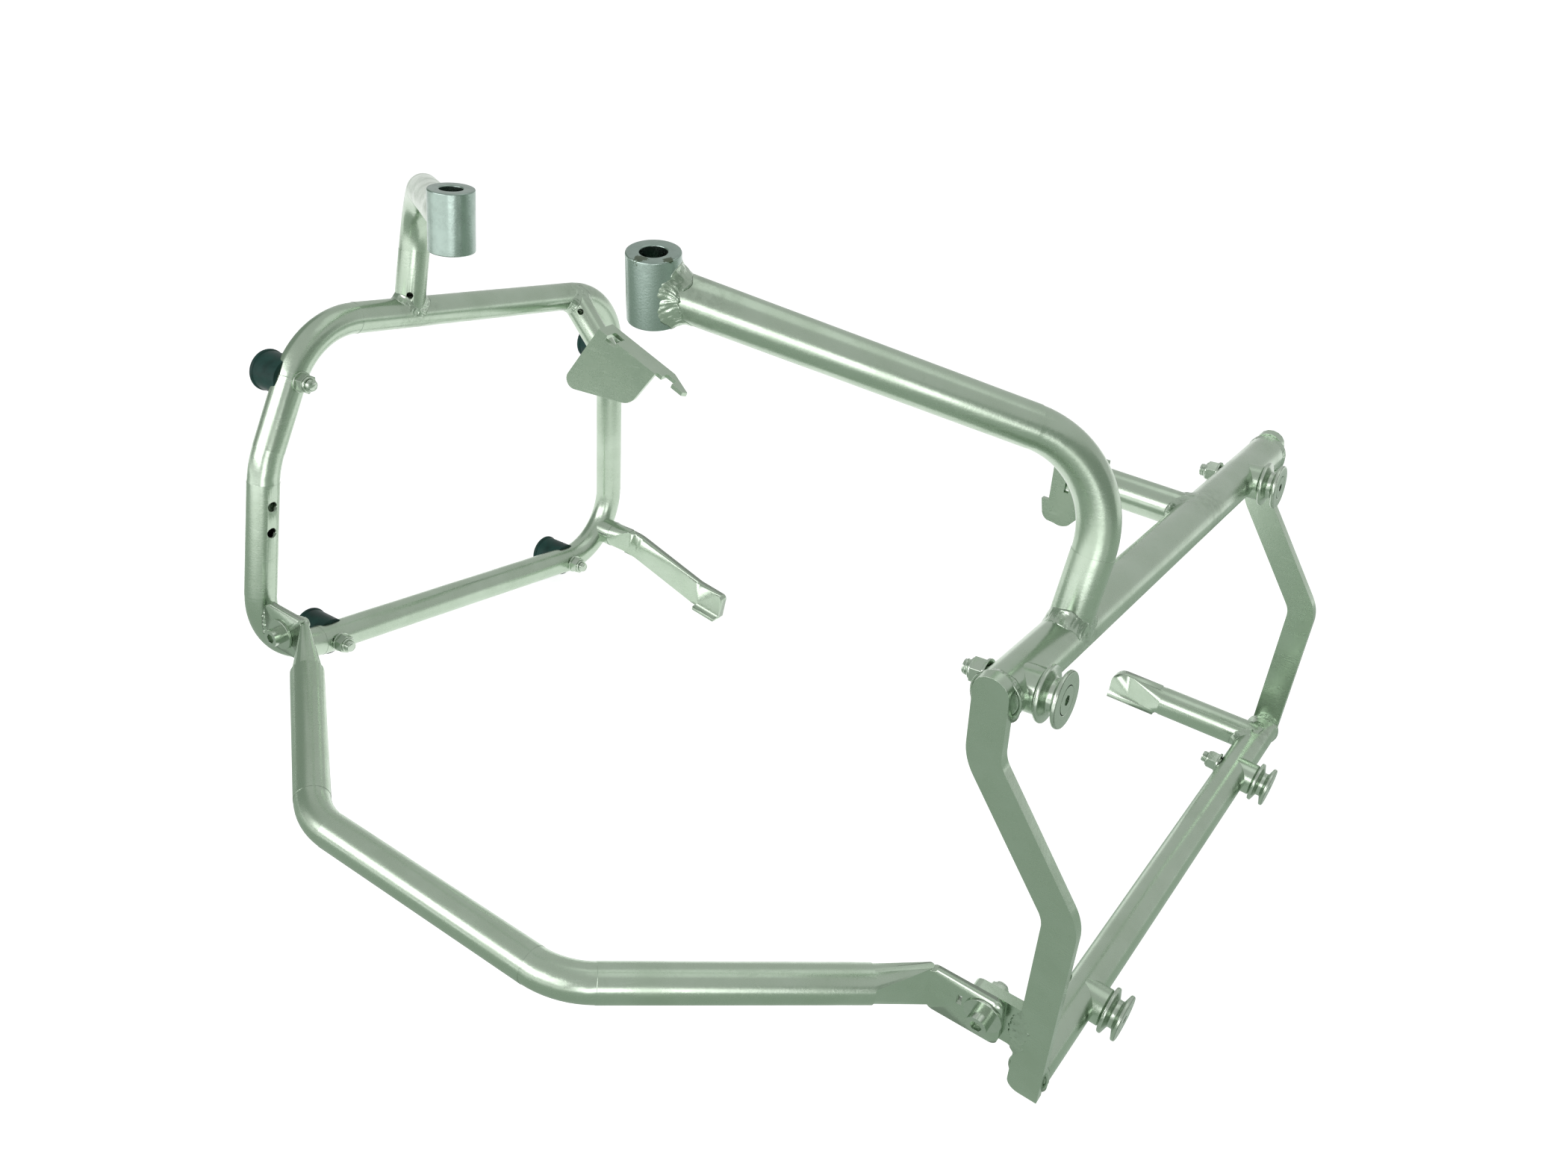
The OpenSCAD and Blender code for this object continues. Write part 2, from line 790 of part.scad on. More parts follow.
module crossbar() {
    route = [left_squash, left_elbow, right_elbow, right_squash];
    radii = [crossbar_bend_r, crossbar_bend_r];
    left_dir = unit(left_elbow - left_squash);
    right_dir = unit(right_elbow - right_squash);
    bore_route = [left_squash + 3 * left_dir, left_elbow, right_elbow, right_squash + 3 * right_dir];
    color(zinc)
        difference() {
            union() {
                bent_rod(route, radii, tube_d);
                at_right_bolt()
                    translate([0, 0, -flat_t])
                        rounded_sheet(-flat_tail, flat_nose, right_lift - flat_h / 2, right_lift + flat_h / 2,
                            flat_r, flat_t);
                at_left_bolt()
                    translate([0, 0, -flat_t])
                        rounded_sheet(-left_nose, left_tail, -flat_h / 2 - left_lift, flat_h / 2 - left_lift,
                            flat_r, flat_t);
                hull() {
                    rod(right_squash + right_dir, right_squash + 2 * right_dir, tube_d - 2 * bar_shoulder,
                        $fn = hull_fn);
                    at_right_bolt()
                        translate([-flat_tail, right_lift, -flat_t / 2])
                            rotate([90, 0, 0])
                                flat_edge();
                }
                hull() {
                    rod(left_squash + left_dir, left_squash + 2 * left_dir, tube_d - 2 * bar_shoulder,
                        $fn = hull_fn);
                    translate(left_crease)
                        flat_edge();
                }
            }
            bent_rod(bore_route, radii, tube_d - 2 * tube_wall);
            at_right_bolt()
                cylinder(d = bar_hole_d, h = 6 * flat_t, center = true);
            at_left_bolt()
                cylinder(d = bar_hole_d, h = 6 * flat_t, center = true);
            at_right_bolt()
                translate([-slot_reach - slot_w / 2, -slot_l / 2, -2 * flat_t])
                    cube([slot_w, slot_l, 4 * flat_t]);
        }
}

module at_both_bolts() {
    at_right_bolt()
        children();
    at_left_bolt()
        children();
}

module crossbar_screws() {
    color(bright_zinc)
        at_both_bolts()
            mirror([0, 0, 1])
                screw(flat_t + bar_washer_t, -tab_t - bar_nut_h - bar_screw_end, bar_screw_d,
                    bar_head_d, bar_head_h, bar_hex_key);
}

module crossbar_washers() {
    color(bright_zinc)
        at_both_bolts()
            washer(-flat_t - bar_washer_t, bar_washer_d, bar_hole_d, bar_washer_t);
}

module crossbar_nuts() {
    color(bright_zinc)
        at_both_bolts()
            nut(tab_t, bar_nut_flats, bar_screw_d, bar_nut_h);
}

// Stub of tube, coped to the tube p-q that carries it
module stub(from, dir, length, cope_d, cope_p, cope_q) {
    difference() {
        rod(from, from + dir * length, tube_d);
        rod(from - dir, from + dir * (length + 1), tube_d - 2 * tube_wall);
        rod(cope_p, cope_q, cope_d);
    }
}

module left_front_stub() {
    vent = left_stub_foot + left_stub_dir * stub_vent_reach;
    color(zinc)
        difference() {
            stub(left_stub_foot + left_stub_dir * tube_r / 3, left_stub_dir, left_stub_length, tube_d,
                hoop_place(250, bar_v(250, true)), hoop_place(310, bar_v(310, true)));
            hoop_bend(3);
            rod(vent, vent + vent_dir * tube_d, vent_d);
        }
}

// Left bracket: local x runs inwards along the folded edge, y up, z towards the rear
module left_bracket_shape() {
    length = bracket_edge_length;
    nose = length + flange_nose;
    difference() {
        linear_extrude(height = bracket_t)
            polygon(concat(
                [[0, 0], [length, 0]],
                arc_points([length - 22, -22], 15, -14, -66),
                arc_points([-5.5, -47], 6.5, -66, -194)));
        translate([relief_x, -relief_depth, -bracket_t])
            cube([relief_l, 2 * relief_depth, 3 * bracket_t]);
    }
    difference() {
        rotate([90, 0, 0])
            linear_extrude(height = bracket_t)
                polygon([[0, 0], [nose, 0], [nose + 2, -3], [nose - 16, -flange_w], [0, -flange_w]]);
        for (x = [relief_x, nose - 18])
            translate([x, -2 * bracket_t, -flange_w / 2])
                cube([relief_l, 3 * bracket_t, flange_w]);
    }
}

module left_bracket() {
    color(zinc)
        translate(left_bracket_corner)
            rotate([90, 0, 0])
                rotate([0, 0, -bracket_edge_fall])
                    left_bracket_shape();
}

// Frame of a lower arm: local x along dir, y up
module beside_arm(from, dir) {
    frame_at(from, dir, unit(cross(dir, [0, 0, 1])))
        children();
}

// Pressed end along a route from the arm's root, with a lip folded out along its lower edge.
// The lip reaches out from the strip's middle, to the side that its sign gives.
module pressed_end(route, half, corner_r, lip_l, lip_reach) {
    last = len(route) - 1;
    dir = unit(route[last] - route[last - 1]);
    linear_extrude(height = pressed_t, center = true)
        polygon(concat(
            without_last(strip_side(route, pressed_bend_r, half)),
            end_corner(route[last - 1], route[last], half, corner_r),
            backwards(strip_side(route, pressed_bend_r, -half))));
    translate(route[last])
        rotate(atan2(dir[1], dir[0]))
            translate([-lip_l, -half - bend_squeeze, min(0, lip_reach)])
                cube([lip_l - shoulder, lip_t, abs(lip_reach)]);
}

// Where a round tube, whose end is at from, is pressed to a strip of height h
module press(from, dir, h, length) {
    hull() {
        rod(from - 2 * dir, from - dir, tube_d - 2 * shoulder, $fn = hull_fn);
        beside_arm(from + dir * length, dir)
            translate([0, bend_squeeze - h / 2, bend_squeeze - pressed_t / 2])
                cube([2 * overlap, h - 2 * bend_squeeze, pressed_t - 2 * bend_squeeze]);
    }
}

module left_lower_arm() {
    dir = [1, 0, 0];
    squash = left_arm_root + left_press_at * dir;
    color(zinc)
        difference() {
            union() {
                rod(left_arm_root, squash, tube_d);
                press(squash, dir, left_strip_h, left_press_l);
                beside_arm(left_arm_root, dir)
                    pressed_end(left_strip, left_strip_h / 2, left_corner_r, left_lip_l,
                        pressed_t / 2 + left_lip_w);
            }
            rod(left_arm_root, squash - 3 * dir, tube_d - 2 * tube_wall);
            hoop_bend(4);
        }
}

module right_lower_arm() {
    dir = [-1, 0, 0];
    from = [lower_x, right_arm_y, lower_z + right_arm_rise];
    squash = from + (right_lower_reach - right_press_at) * dir;
    strip = [[right_lower_reach - right_lip_l - overlap, 0], [right_lower_reach, 0]];
    color(zinc)
        difference() {
            union() {
                rod(from, squash, tube_d);
                press(squash, dir, tube_d, right_press_l);
                beside_arm(from, dir)
                    pressed_end(strip, tube_r, right_corner_r, right_lip_l, -pressed_t / 2 - right_lip_w);
            }
            rod(from, squash - 3 * dir, tube_d - 2 * tube_wall);
            rod(lower_rear, lower_front, tube_d);
        }
}

module right_front_stub() {
    color(zinc)
        stub(on_upper(right_stub_y), [-1, 0, 0], right_stub_reach, upper_tube_d, upper_rear, upper_front);
}

// Right bracket, seen from behind, with x to the right and y up from the stub's centre
module right_bracket_shape() {
    edge = right_bracket_edge;
    top = right_bracket_top;
    difference() {
        linear_extrude(height = bracket_t)
            polygon(concat(
                [[edge, top], [edge + right_bracket_w, top], [edge + right_bracket_w, -10]],
                arc_points([edge + 9, -17], 8, -50, -110),
                arc_points([edge + 4, -19], 5.5, -110, -170),
                [[edge - 3, -13], [edge + 1, -13]]));
        translate([edge + relief_x, -6, -bracket_t])
            cube([slot_w, relief_l, 3 * bracket_t]);
    }
    translate([edge, top - bracket_t, -flange_w])
        cube([right_bracket_w, bracket_t, flange_w + overlap]);
}

module right_bracket() {
    color(zinc)
        translate(on_upper(right_stub_y) - [0, tube_r, 0])
            rotate([90, 0, 0])
                right_bracket_shape();
}

from_sleeve() left_hoop();
from_sleeve() left_arm();
from_sleeve() left_sleeve();
from_sleeve() left_front_stub();
from_sleeve() left_bracket();
from_sleeve() left_lower_arm();
from_sleeve() left_tab();
for (i = [0:3])
    from_sleeve() left_puck(i);
from_sleeve() left_puck_screws();
from_sleeve() left_puck_washers();
from_sleeve() left_puck_nuts();
from_sleeve() right_upper_tube();
from_sleeve() right_lower_tube();
from_sleeve() right_rear_plate();
from_sleeve() right_front_plate();
from_sleeve() right_arm();
from_sleeve() right_sleeve();
from_sleeve() right_front_stub();
from_sleeve() right_bracket();
from_sleeve() right_lower_arm();
from_sleeve() right_tab();
for (i = [0:3])
    from_sleeve() right_collar(i);
for (i = [0:3])
    from_sleeve() right_spool(i);
from_sleeve() right_spool_screws();
from_sleeve() right_spool_washers();
from_sleeve() right_spool_nuts();
from_sleeve() crossbar();
from_sleeve() crossbar_screws();
from_sleeve() crossbar_washers();
from_sleeve() crossbar_nuts();
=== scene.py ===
import math

import bmesh
import bpy
import numpy as np
from mathutils import Matrix, Vector


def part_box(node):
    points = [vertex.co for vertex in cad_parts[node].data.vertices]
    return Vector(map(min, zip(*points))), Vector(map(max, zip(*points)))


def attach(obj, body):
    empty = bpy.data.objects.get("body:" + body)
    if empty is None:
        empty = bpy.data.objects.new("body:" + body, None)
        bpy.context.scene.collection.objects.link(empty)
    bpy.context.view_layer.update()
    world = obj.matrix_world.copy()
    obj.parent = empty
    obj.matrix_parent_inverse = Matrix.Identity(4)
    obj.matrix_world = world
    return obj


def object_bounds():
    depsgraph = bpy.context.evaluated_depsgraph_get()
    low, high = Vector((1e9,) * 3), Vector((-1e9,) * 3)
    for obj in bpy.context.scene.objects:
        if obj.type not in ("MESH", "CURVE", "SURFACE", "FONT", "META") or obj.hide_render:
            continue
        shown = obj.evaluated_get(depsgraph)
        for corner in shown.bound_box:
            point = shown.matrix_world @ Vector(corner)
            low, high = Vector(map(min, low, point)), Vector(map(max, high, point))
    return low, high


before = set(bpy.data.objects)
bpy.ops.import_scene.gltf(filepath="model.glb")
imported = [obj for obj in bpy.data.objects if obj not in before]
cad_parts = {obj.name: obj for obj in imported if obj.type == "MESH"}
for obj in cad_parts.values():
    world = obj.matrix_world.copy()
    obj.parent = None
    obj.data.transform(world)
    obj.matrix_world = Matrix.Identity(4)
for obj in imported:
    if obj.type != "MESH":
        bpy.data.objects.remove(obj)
cad_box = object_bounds()

bl_info = {
    "name": "Pannier Frame",
    "version": (1, 0, 0),
    "blender": (4, 5, 0),
    "location": "View3D > Sidebar > Pannier Frame",
    "description": "Zinc plated pannier frame with weld beads, threaded fasteners and rubber pucks",
    "category": "Add Mesh",
}

# Sizes shared with the construction, in metres
SLEEVE_X = 0.0615
SLEEVE_R = 0.01025
SLEEVE_H = 0.027
TUBE_R = 0.009
UPPER_R = 0.010
PLATE_T = 0.005
TAB_T = 0.005
WASHER_T = 0.0012
CASE_NUT_H = 0.00498
CASE_SCREW_END = 0.004
BAR_NUT_H = 0.005
BAR_SCREW_END = 0.003

# How far the cranked plates, the left hoop and the right sleeve lean
PLATE_LEAN = math.radians(9.0)
HOOP_LEAN = math.radians(2.5)
SLEEVE_BACK_LEAN = math.radians(9.0)
SLEEVE_SIDE_LEAN = math.radians(2.5)

UPRIGHT = np.array((0.0, 0.0, 1.0))
FORWARD = np.array((0.0, 1.0, 0.0))
PLATE_NORMAL = np.array((0.0, math.cos(PLATE_LEAN), math.sin(PLATE_LEAN)))
PLATE_UP = np.array((0.0, -math.sin(PLATE_LEAN), math.cos(PLATE_LEAN)))
LEFT_OUT = np.array((-math.cos(HOOP_LEAN), 0.0, -math.sin(HOOP_LEAN)))
RIGHT_SLEEVE_AXIS = np.array((
    math.cos(SLEEVE_BACK_LEAN) * math.sin(SLEEVE_SIDE_LEAN), -math.sin(SLEEVE_BACK_LEAN),
    math.cos(SLEEVE_BACK_LEAN) * math.cos(SLEEVE_SIDE_LEAN)))


def at(x, y, z):
    """A place given in millimetres from the middle plane, in the frame's own metres."""
    return np.array((x / 1000 - SLEEVE_X, y / 1000, z / 1000))


# Middle lines of the tubes: where each starts, bends and ends
UPPER_REAR = at(207.5, 26.5, -127.5)
UPPER_FRONT = at(207.5, 377.5, -138.5)
LOWER_REAR = at(245.0, 57.9, -325.5)
LOWER_FRONT = at(245.0, 407.1, -325.5)
RIGHT_ARM = (at(61.5, 0.0, 0.0), at(211.0, 110.0, -55.0), at(207.5, 95.5, -129.7))
LEFT_ARM = (at(-68.5, 24.0, -9.0), at(-237.0, 158.0, -49.0), at(-235.5, 146.0, -122.0))
HOOP_TOP = (at(-235.8, 100.0, -115.5), at(-234.5, 310.0, -145.0))
HOOP_REAR = (at(-227.6, 19.5, -302.0), at(-232.7, 37.0, -185.0))
LEFT_STUB = (at(-234.6, 288.0, -141.9), at(-200.0, 288.0, -176.5))
RIGHT_STUB = (at(207.5, 258.0, -134.8), at(141.5, 258.0, -134.8))
RIGHT_LOWER_ARM = (at(245.0, 388.0, -323.5), at(150.0, 388.0, -323.5))
HOOP_PIVOT_X = -231.0
HOOP_PIVOT_Z = -225.0


def hoop_place(u, v):
    """A place in the left hoop's leaning plane, in millimetres: u forward and v up along the plane."""
    return at(HOOP_PIVOT_X - v * math.sin(HOOP_LEAN), u, HOOP_PIVOT_Z + v * math.cos(HOOP_LEAN))


# Screws of the pucks, and of the spools with their tilt in degrees and the radius of their tube
LEFT_FITTINGS = (hoop_place(59.92, 85.0), hoop_place(326.5, 37.78), hoop_place(70.0, -84.10),
                 hoop_place(278.0, -113.33))
RIGHT_FITTINGS = (
    (at(207.5, 46.5, -128.13), 5.0, UPPER_R),
    (at(207.5, 326.0, -136.89), 5.0, UPPER_R),
    (at(245.0, 122.0, -325.5), -4.0, TUBE_R),
    (at(245.0, 349.0, -325.5), -4.0, TUBE_R))

# Bolts of the crossbar, where the bar and the tab meet, and the way to their nuts
BOLT_DROP = 164.2
LEFT_BOLT = at(-203.6, 23.0, -273.2)
RIGHT_BOLT = at(224.4, 26.5 + BOLT_DROP * math.tan(PLATE_LEAN), -127.5 - BOLT_DROP)
CROSSBAR_BOLTS = ((LEFT_BOLT, FORWARD), (RIGHT_BOLT, PLATE_NORMAL))

# From the right tab's bolt across to its seam with the plate, and the seam's foot and top above the bolt
TAB_REACH = 0.0147
TAB_SEAM = (-0.0205, 0.0096)

# Places and reach of the dark bloom beside welds, and of the chips in the right sleeve's plating
BLOOM_REACH = 0.025
SLEEVE_STAIN = RIGHT_ARM[0] + np.array((0.012, 0.009, -0.004))
WELD_STAINS = tuple((tuple(place), BLOOM_REACH) for place in (
    SLEEVE_STAIN, LEFT_ARM[-1], RIGHT_ARM[-1], LEFT_STUB[0], RIGHT_STUB[0], RIGHT_LOWER_ARM[0]))
SLEEVE_CHIPS = (((0.0010, -0.0098, 0.0125), 0.0058), ((0.0092, -0.0045, 0.0130), 0.0040))

# Groups of CAD nodes that share a finish
TUBES = ("left_hoop", "left_arm", "left_front_stub", "left_lower_arm", "right_upper_tube",
         "right_lower_tube", "right_arm", "right_front_stub", "right_lower_arm", "crossbar")
SHEETS = ("left_bracket", "left_tab", "right_rear_plate", "right_front_plate", "right_bracket", "right_tab")
CORNERS = ("upper_rear", "upper_front", "lower_rear", "lower_front")
COLLARS = tuple(f"right_collar_{corner}" for corner in CORNERS)
SPOOLS = tuple(f"right_spool_{corner}" for corner in CORNERS)
PUCKS = tuple(f"left_puck_{corner}" for corner in CORNERS)
SLEEVES = ("left_sleeve", "right_sleeve")
FASTENER_GROUPS = ("left_puck", "right_spool", "crossbar")
FASTENER_KINDS = ("screws", "washers", "nuts")


class FinishSettings(bpy.types.PropertyGroup):
    """Colours and gloss of the metal and the rubber"""

    zinc_colour: bpy.props.FloatVectorProperty(
        name="Zinc", description="Colour of the satin zinc plating on tube and plate",
        subtype="COLOR", size=3, min=0.0, max=1.0, default=(0.485, 0.590, 0.475))
    shade_colour: bpy.props.FloatVectorProperty(
        name="Zinc shade", description="Darker colour that clouds the plating",
        subtype="COLOR", size=3, min=0.0, max=1.0, default=(0.385, 0.490, 0.370))
    bright_colour: bpy.props.FloatVectorProperty(
        name="Bright zinc", description="Colour of turned pieces and fasteners",
        subtype="COLOR", size=3, min=0.0, max=1.0, default=(0.50, 0.585, 0.49))
    sleeve_colour: bpy.props.FloatVectorProperty(
        name="Sleeve", description="Cooler plating of the two mounting sleeves",
        subtype="COLOR", size=3, min=0.0, max=1.0, default=(0.34, 0.44, 0.385))
    stain_colour: bpy.props.FloatVectorProperty(
        name="Weld stain", description="Dark bloom beside the weld beads",
        subtype="COLOR", size=3, min=0.0, max=1.0, default=(0.10, 0.14, 0.09))
    rubber_colour: bpy.props.FloatVectorProperty(
        name="Rubber", description="Colour of the moulded rubber pucks",
        subtype="COLOR", size=3, min=0.0, max=1.0, default=(0.008, 0.036, 0.029))
    zinc_roughness: bpy.props.FloatProperty(
        name="Zinc roughness", description="Roughness of the satin plating",
        subtype="FACTOR", min=0.05, max=1.0, default=0.27)


class StageSettings(bpy.types.PropertyGroup):
    """Floor, lamps and the background"""

    floor_colour: bpy.props.FloatVectorProperty(
        name="Floor", description="Colour of the floor", subtype="COLOR", size=3, min=0.0, max=1.0,
        default=(0.86, 0.86, 0.86))
    floor_glow: bpy.props.FloatProperty(
        name="Floor glow", subtype="FACTOR", min=0.0, max=1.0, default=0.72,
        description="Share of white that the camera sees on the floor besides its lamp light")
    key_power: bpy.props.FloatProperty(
        name="Key lamp", description="Power of the wide soft box behind the camera", min=0.0, max=200.0,
        default=16.0, unit="POWER")
    top_power: bpy.props.FloatProperty(
        name="Top lamp", description="Power of the overhead lamp", min=0.0, max=200.0,
        default=2.3, unit="POWER")
    fill_power: bpy.props.FloatProperty(
        name="Fill lamp", description="Power of the low soft box at the right", min=0.0, max=200.0,
        default=2.6, unit="POWER")
    world_light: bpy.props.FloatProperty(
        name="Room light", description="Strength of the room's own diffuse light",
        min=0.0, max=2.0, default=0.4)
    mirrored_light: bpy.props.FloatProperty(
        name="Mirrored room", description="How bright the white room is in the metal's reflections",
        min=0.0, max=1.0, default=0.64)


def unit(v):
    """Vectors of length one: each is divided by the root of the sum of its squares."""
    return v / np.linalg.norm(v, axis=-1, keepdims=True)


def full_turn(steps):
    """Angles evenly round a circle, the last one step short of the first."""
    return np.linspace(0, 2 * math.pi, steps, endpoint=False)


def grid_mesh(name, points, wrap_rows=False, wrap_columns=False):
    """A mesh from a rows x columns x 3 array of places, a face between neighbours, closed where it wraps."""
    rows, columns = points.shape[:2]
    index = np.arange(rows * columns).reshape(rows, columns)
    if wrap_rows:
        index = np.vstack((index, index[:1]))
    if wrap_columns:
        index = np.hstack((index, index[:, :1]))
    faces = np.stack((index[:-1, :-1], index[:-1, 1:], index[1:, 1:], index[1:, :-1]), -1).reshape(-1, 4)
    mesh = bpy.data.meshes.new(name)
    mesh.from_pydata(points.reshape(-1, 3).tolist(), [], faces.tolist())
    return mesh


def add_piece(name, meshes, material):
    """One object of several meshes, smooth, turned outwards, riding on the frame."""
    joined = bmesh.new()
    for mesh in meshes:
        joined.from_mesh(mesh)
        bpy.data.meshes.remove(mesh)
    bmesh.ops.recalc_face_normals(joined, faces=joined.faces)
    mesh = bpy.data.meshes.new(name)
    joined.to_mesh(mesh)
    joined.free()
    mesh.polygons.foreach_set("use_smooth", np.ones(len(mesh.polygons), bool))
    mesh.materials.append(material)
    piece = bpy.data.objects.new(name, mesh)
    bpy.context.scene.collection.objects.link(piece)
    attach(piece, "root")


# Section of a fillet weld: how full it is, its crown, its points, and how deep its toes and its root sink
FULLNESS = 0.16
CROWN = 0.00015
FACE_POINTS = 9
TOE_SINK = 0.00006
ROOT_SINK = 0.0007
# Share of a ring weld's leg on the plate that is left on top
TOP_SHARE = 0.16
# Ripples along a weld, with how far they bow back, and the lumps over them, as waves along and across
SEAM_STEP = 0.00035
RIPPLE = 0.0017
RIPPLE_H = 0.00016
RIPPLE_BOW = 0.45
LUMPS = 0.9
LUMP_SIZE = (0.3, 0.8)
LUMP_WAVES = ((7, 1), (11, -1), (17, 1), (5, -2))
# Slow change of a weld's legs, and the range of a wave's start in radians
WANDER_SIZE = (0.04, 0.10)
WANDER_WAVES = (1, 2, 3, 5, 8)
PHASE = (0, 6)
# Taper at an open end: its length in legs, and the least share of that length that counts
TAPER_LEGS = 2
LEAST_SHARE = 0.002
# A saddle's seam is about this many times as long as the branch's girth
SADDLE_STRETCH = 1.25


class Side:
    """One of the two surfaces that a fillet lies on, along its path: the surface's normals, the ways off the
    path in the surface, the share of the leg used there, and a function that puts a place on the surface."""

    def __init__(self, normal, away, settle=None, share=1.0):
        self.normal = normal
        self.away = away
        self.settle = settle
        self.share = share

    def toe(self, path, reach):
        """The fillet's edge: a step off the path in the surface, a little below it."""
        place = path + self.share * reach * self.away
        if self.settle:
            place = self.settle(place)
        return place - TOE_SINK * self.normal


def along_path(path, closed):
    """Unit directions along a path, each from the place before to the place after."""
    return unit(np.roll(path, -1, 0) - np.roll(path, 1, 0) if closed else np.gradient(path, axis=0))


def turned_away(along, normal, towards):
    """The direction in a surface across the path, on the side of the towards vectors."""
    across = unit(np.cross(along, normal))
    return across * np.sign(np.sum(across * towards, -1, keepdims=True))


def on_rod(place, start, axis, radius, half_length=math.inf):
    """The nearest place on a round rod's surface, no farther along it than half its length from the start."""
    from_start = place - start
    run = (from_start @ axis)[:, None]
    return start + np.clip(run, -half_length, half_length) * axis + radius * unit(from_start - run * axis)


def fillet(path, one, other, closed, seed, leg):
    """Fillet weld along a path where two surfaces meet. Each section is a parabola from a toe on one surface
    to a toe on the other, whose handle lies between the corner and the middle of the toes. Waves lift the
    middle once a ripple and bow it back like laid coins, and slow waves change the legs; open ends taper."""
    along = along_path(path, closed)
    run = np.concatenate(([0.0], np.cumsum(np.linalg.norm(np.diff(path, axis=0), axis=1))))
    whole = run[-1]
    rng = np.random.default_rng(seed)
    wander = sum(rng.uniform(*WANDER_SIZE) * np.sin(2 * math.pi * k * run / whole + rng.uniform(*PHASE))
                 for k in WANDER_WAVES)
    from_end = np.minimum(run, whole - run) / (TAPER_LEGS * leg)
    size = (1 + wander) * (1.0 if closed else np.sqrt(np.clip(from_end, LEAST_SHARE, 1.0)))
    reach = (leg * size)[:, None]
    first_toe = one.toe(path, reach)
    last_toe = other.toe(path, reach)
    outward = unit(one.normal + other.normal)
    handle = path + FULLNESS * ((first_toe + last_toe) / 2 - path) + 2 * CROWN * size[:, None] * outward
    share = np.linspace(0, 1, FACE_POINTS)[None, :, None]
    face = ((1 - share) ** 2 * first_toe[:, None] + 2 * share * (1 - share) * handle[:, None]
            + share ** 2 * last_toe[:, None])
    middle = np.sin(math.pi * share)
    waves = max(1, round(whole / RIPPLE))
    wave = np.abs(np.sin(run / whole * waves * math.pi))[:, None, None] * size[:, None, None]
    lumps = sum(rng.uniform(*LUMP_SIZE) * np.sin(2 * math.pi * (k * run[:, None] / whole + j * share[..., 0])
                                                 + rng.uniform(*PHASE)) for k, j in LUMP_WAVES)
    wave = wave + LUMPS * lumps[..., None]
    face = face + RIPPLE_H * wave * middle * outward[:, None] - RIPPLE_BOW * RIPPLE * middle * along[:, None]
    root = path - ROOT_SINK * outward
    return np.concatenate((face, root[:, None]), axis=1)


def saddle_weld(name, main, main_r, branch, branch_r, seed, leg, half_length):
    """Weld where a branch tube meets a main tube. For each angle round the branch, the line along it is met
    with the main tube's surface: the square of the distance from the main axis is its radius squared."""
    main_dir = unit(main[1] - main[0])
    out = unit(branch[1] - branch[0])
    first = unit(np.cross(out, main_dir))
    second = np.cross(out, first)
    angle = full_turn(int(2 * math.pi * branch_r * SADDLE_STRETCH / SEAM_STEP))[:, None]
    round_branch = np.cos(angle) * first + np.sin(angle) * second
    start = branch[0] + branch_r * round_branch - main[0]
    flat = start - (start @ main_dir)[:, None] * main_dir
    lift = out - (out @ main_dir) * main_dir
    half = flat @ lift
    inside = half ** 2 - (lift @ lift) * (np.sum(flat * flat, 1) - main_r ** 2)
    reach = (-half + np.sqrt(np.clip(inside, 0, None))) / (lift @ lift)
    path = main[0] + start + reach[:, None] * out
    round_main = unit(flat + reach[:, None] * lift)
    along = along_path(path, True)
    main_side = Side(round_main, turned_away(along, round_main, round_branch - out),
                     lambda place: on_rod(place, main[0], main_dir, main_r, half_length))
    branch_side = Side(round_branch, turned_away(along, round_branch, np.broadcast_to(out, path.shape)),
                       lambda place: on_rod(place, branch[0], out, branch_r))
    return grid_mesh(name, fillet(path, main_side, branch_side, True, seed, leg), True, True)


def ring_weld(name, centre, axis, plate_normal, radius, seed, leg):
    """Weld round a tube whose end stands on a plate: the ellipse in which the plate cuts the tube. Its leg on
    the plate is short on top and grows with the square of how far down the place lies."""
    axis = unit(axis)
    first = unit(np.cross(axis, UPRIGHT))
    second = np.cross(axis, first)
    angle = full_turn(int(2 * math.pi * radius / SEAM_STEP))[:, None]
    out = np.cos(angle) * first + np.sin(angle) * second
    start = radius * out
    path = centre + start - ((start @ plate_normal) / (axis @ plate_normal))[:, None] * axis
    along = along_path(path, True)
    flat = np.broadcast_to(plate_normal, path.shape)
    plate_share = TOP_SHARE + (1 - TOP_SHARE) * np.clip(-out[:, 2:], 0, 1) ** 2
    plate_side = Side(flat, turned_away(along, flat, out), None, plate_share)
    tube_side = Side(out, turned_away(along, out, np.broadcast_to(axis, path.shape)),
                     lambda place: on_rod(place, centre, axis, radius))
    return grid_mesh(name, fillet(path, plate_side, tube_side, True, seed, leg), True, True)


def tab_weld(name, rod, radius, plane_y, low, high, side, seed, leg):
    """Weld along the corner between a tab's face and the tube that it stands on: at each height, the tube's
    surface is met with the face's plane, where the distance from the tube's middle line is its radius."""
    height = np.linspace(low, high, int((high - low) / SEAM_STEP))
    axis = unit(rod[1] - rod[0])
    middle = rod[0] + ((height - rod[0][2]) / axis[2])[:, None] * axis
    across = np.sqrt(radius ** 2 - (plane_y - middle[:, 1]) ** 2)
    path = np.stack((middle[:, 0] + across, np.full_like(height, plane_y), height), -1)
    face = np.broadcast_to(side * FORWARD, path.shape)
    round_tube = unit(path - middle)
    along = along_path(path, False)
    tab_side = Side(face, turned_away(along, face, np.array((1.0, 0.0, 0.0))))
    tube_side = Side(round_tube, turned_away(along, round_tube, face),
                     lambda place: on_rod(place, rod[0], axis, radius))
    return grid_mesh(name, fillet(path, tab_side, tube_side, False, seed, leg), False, True)


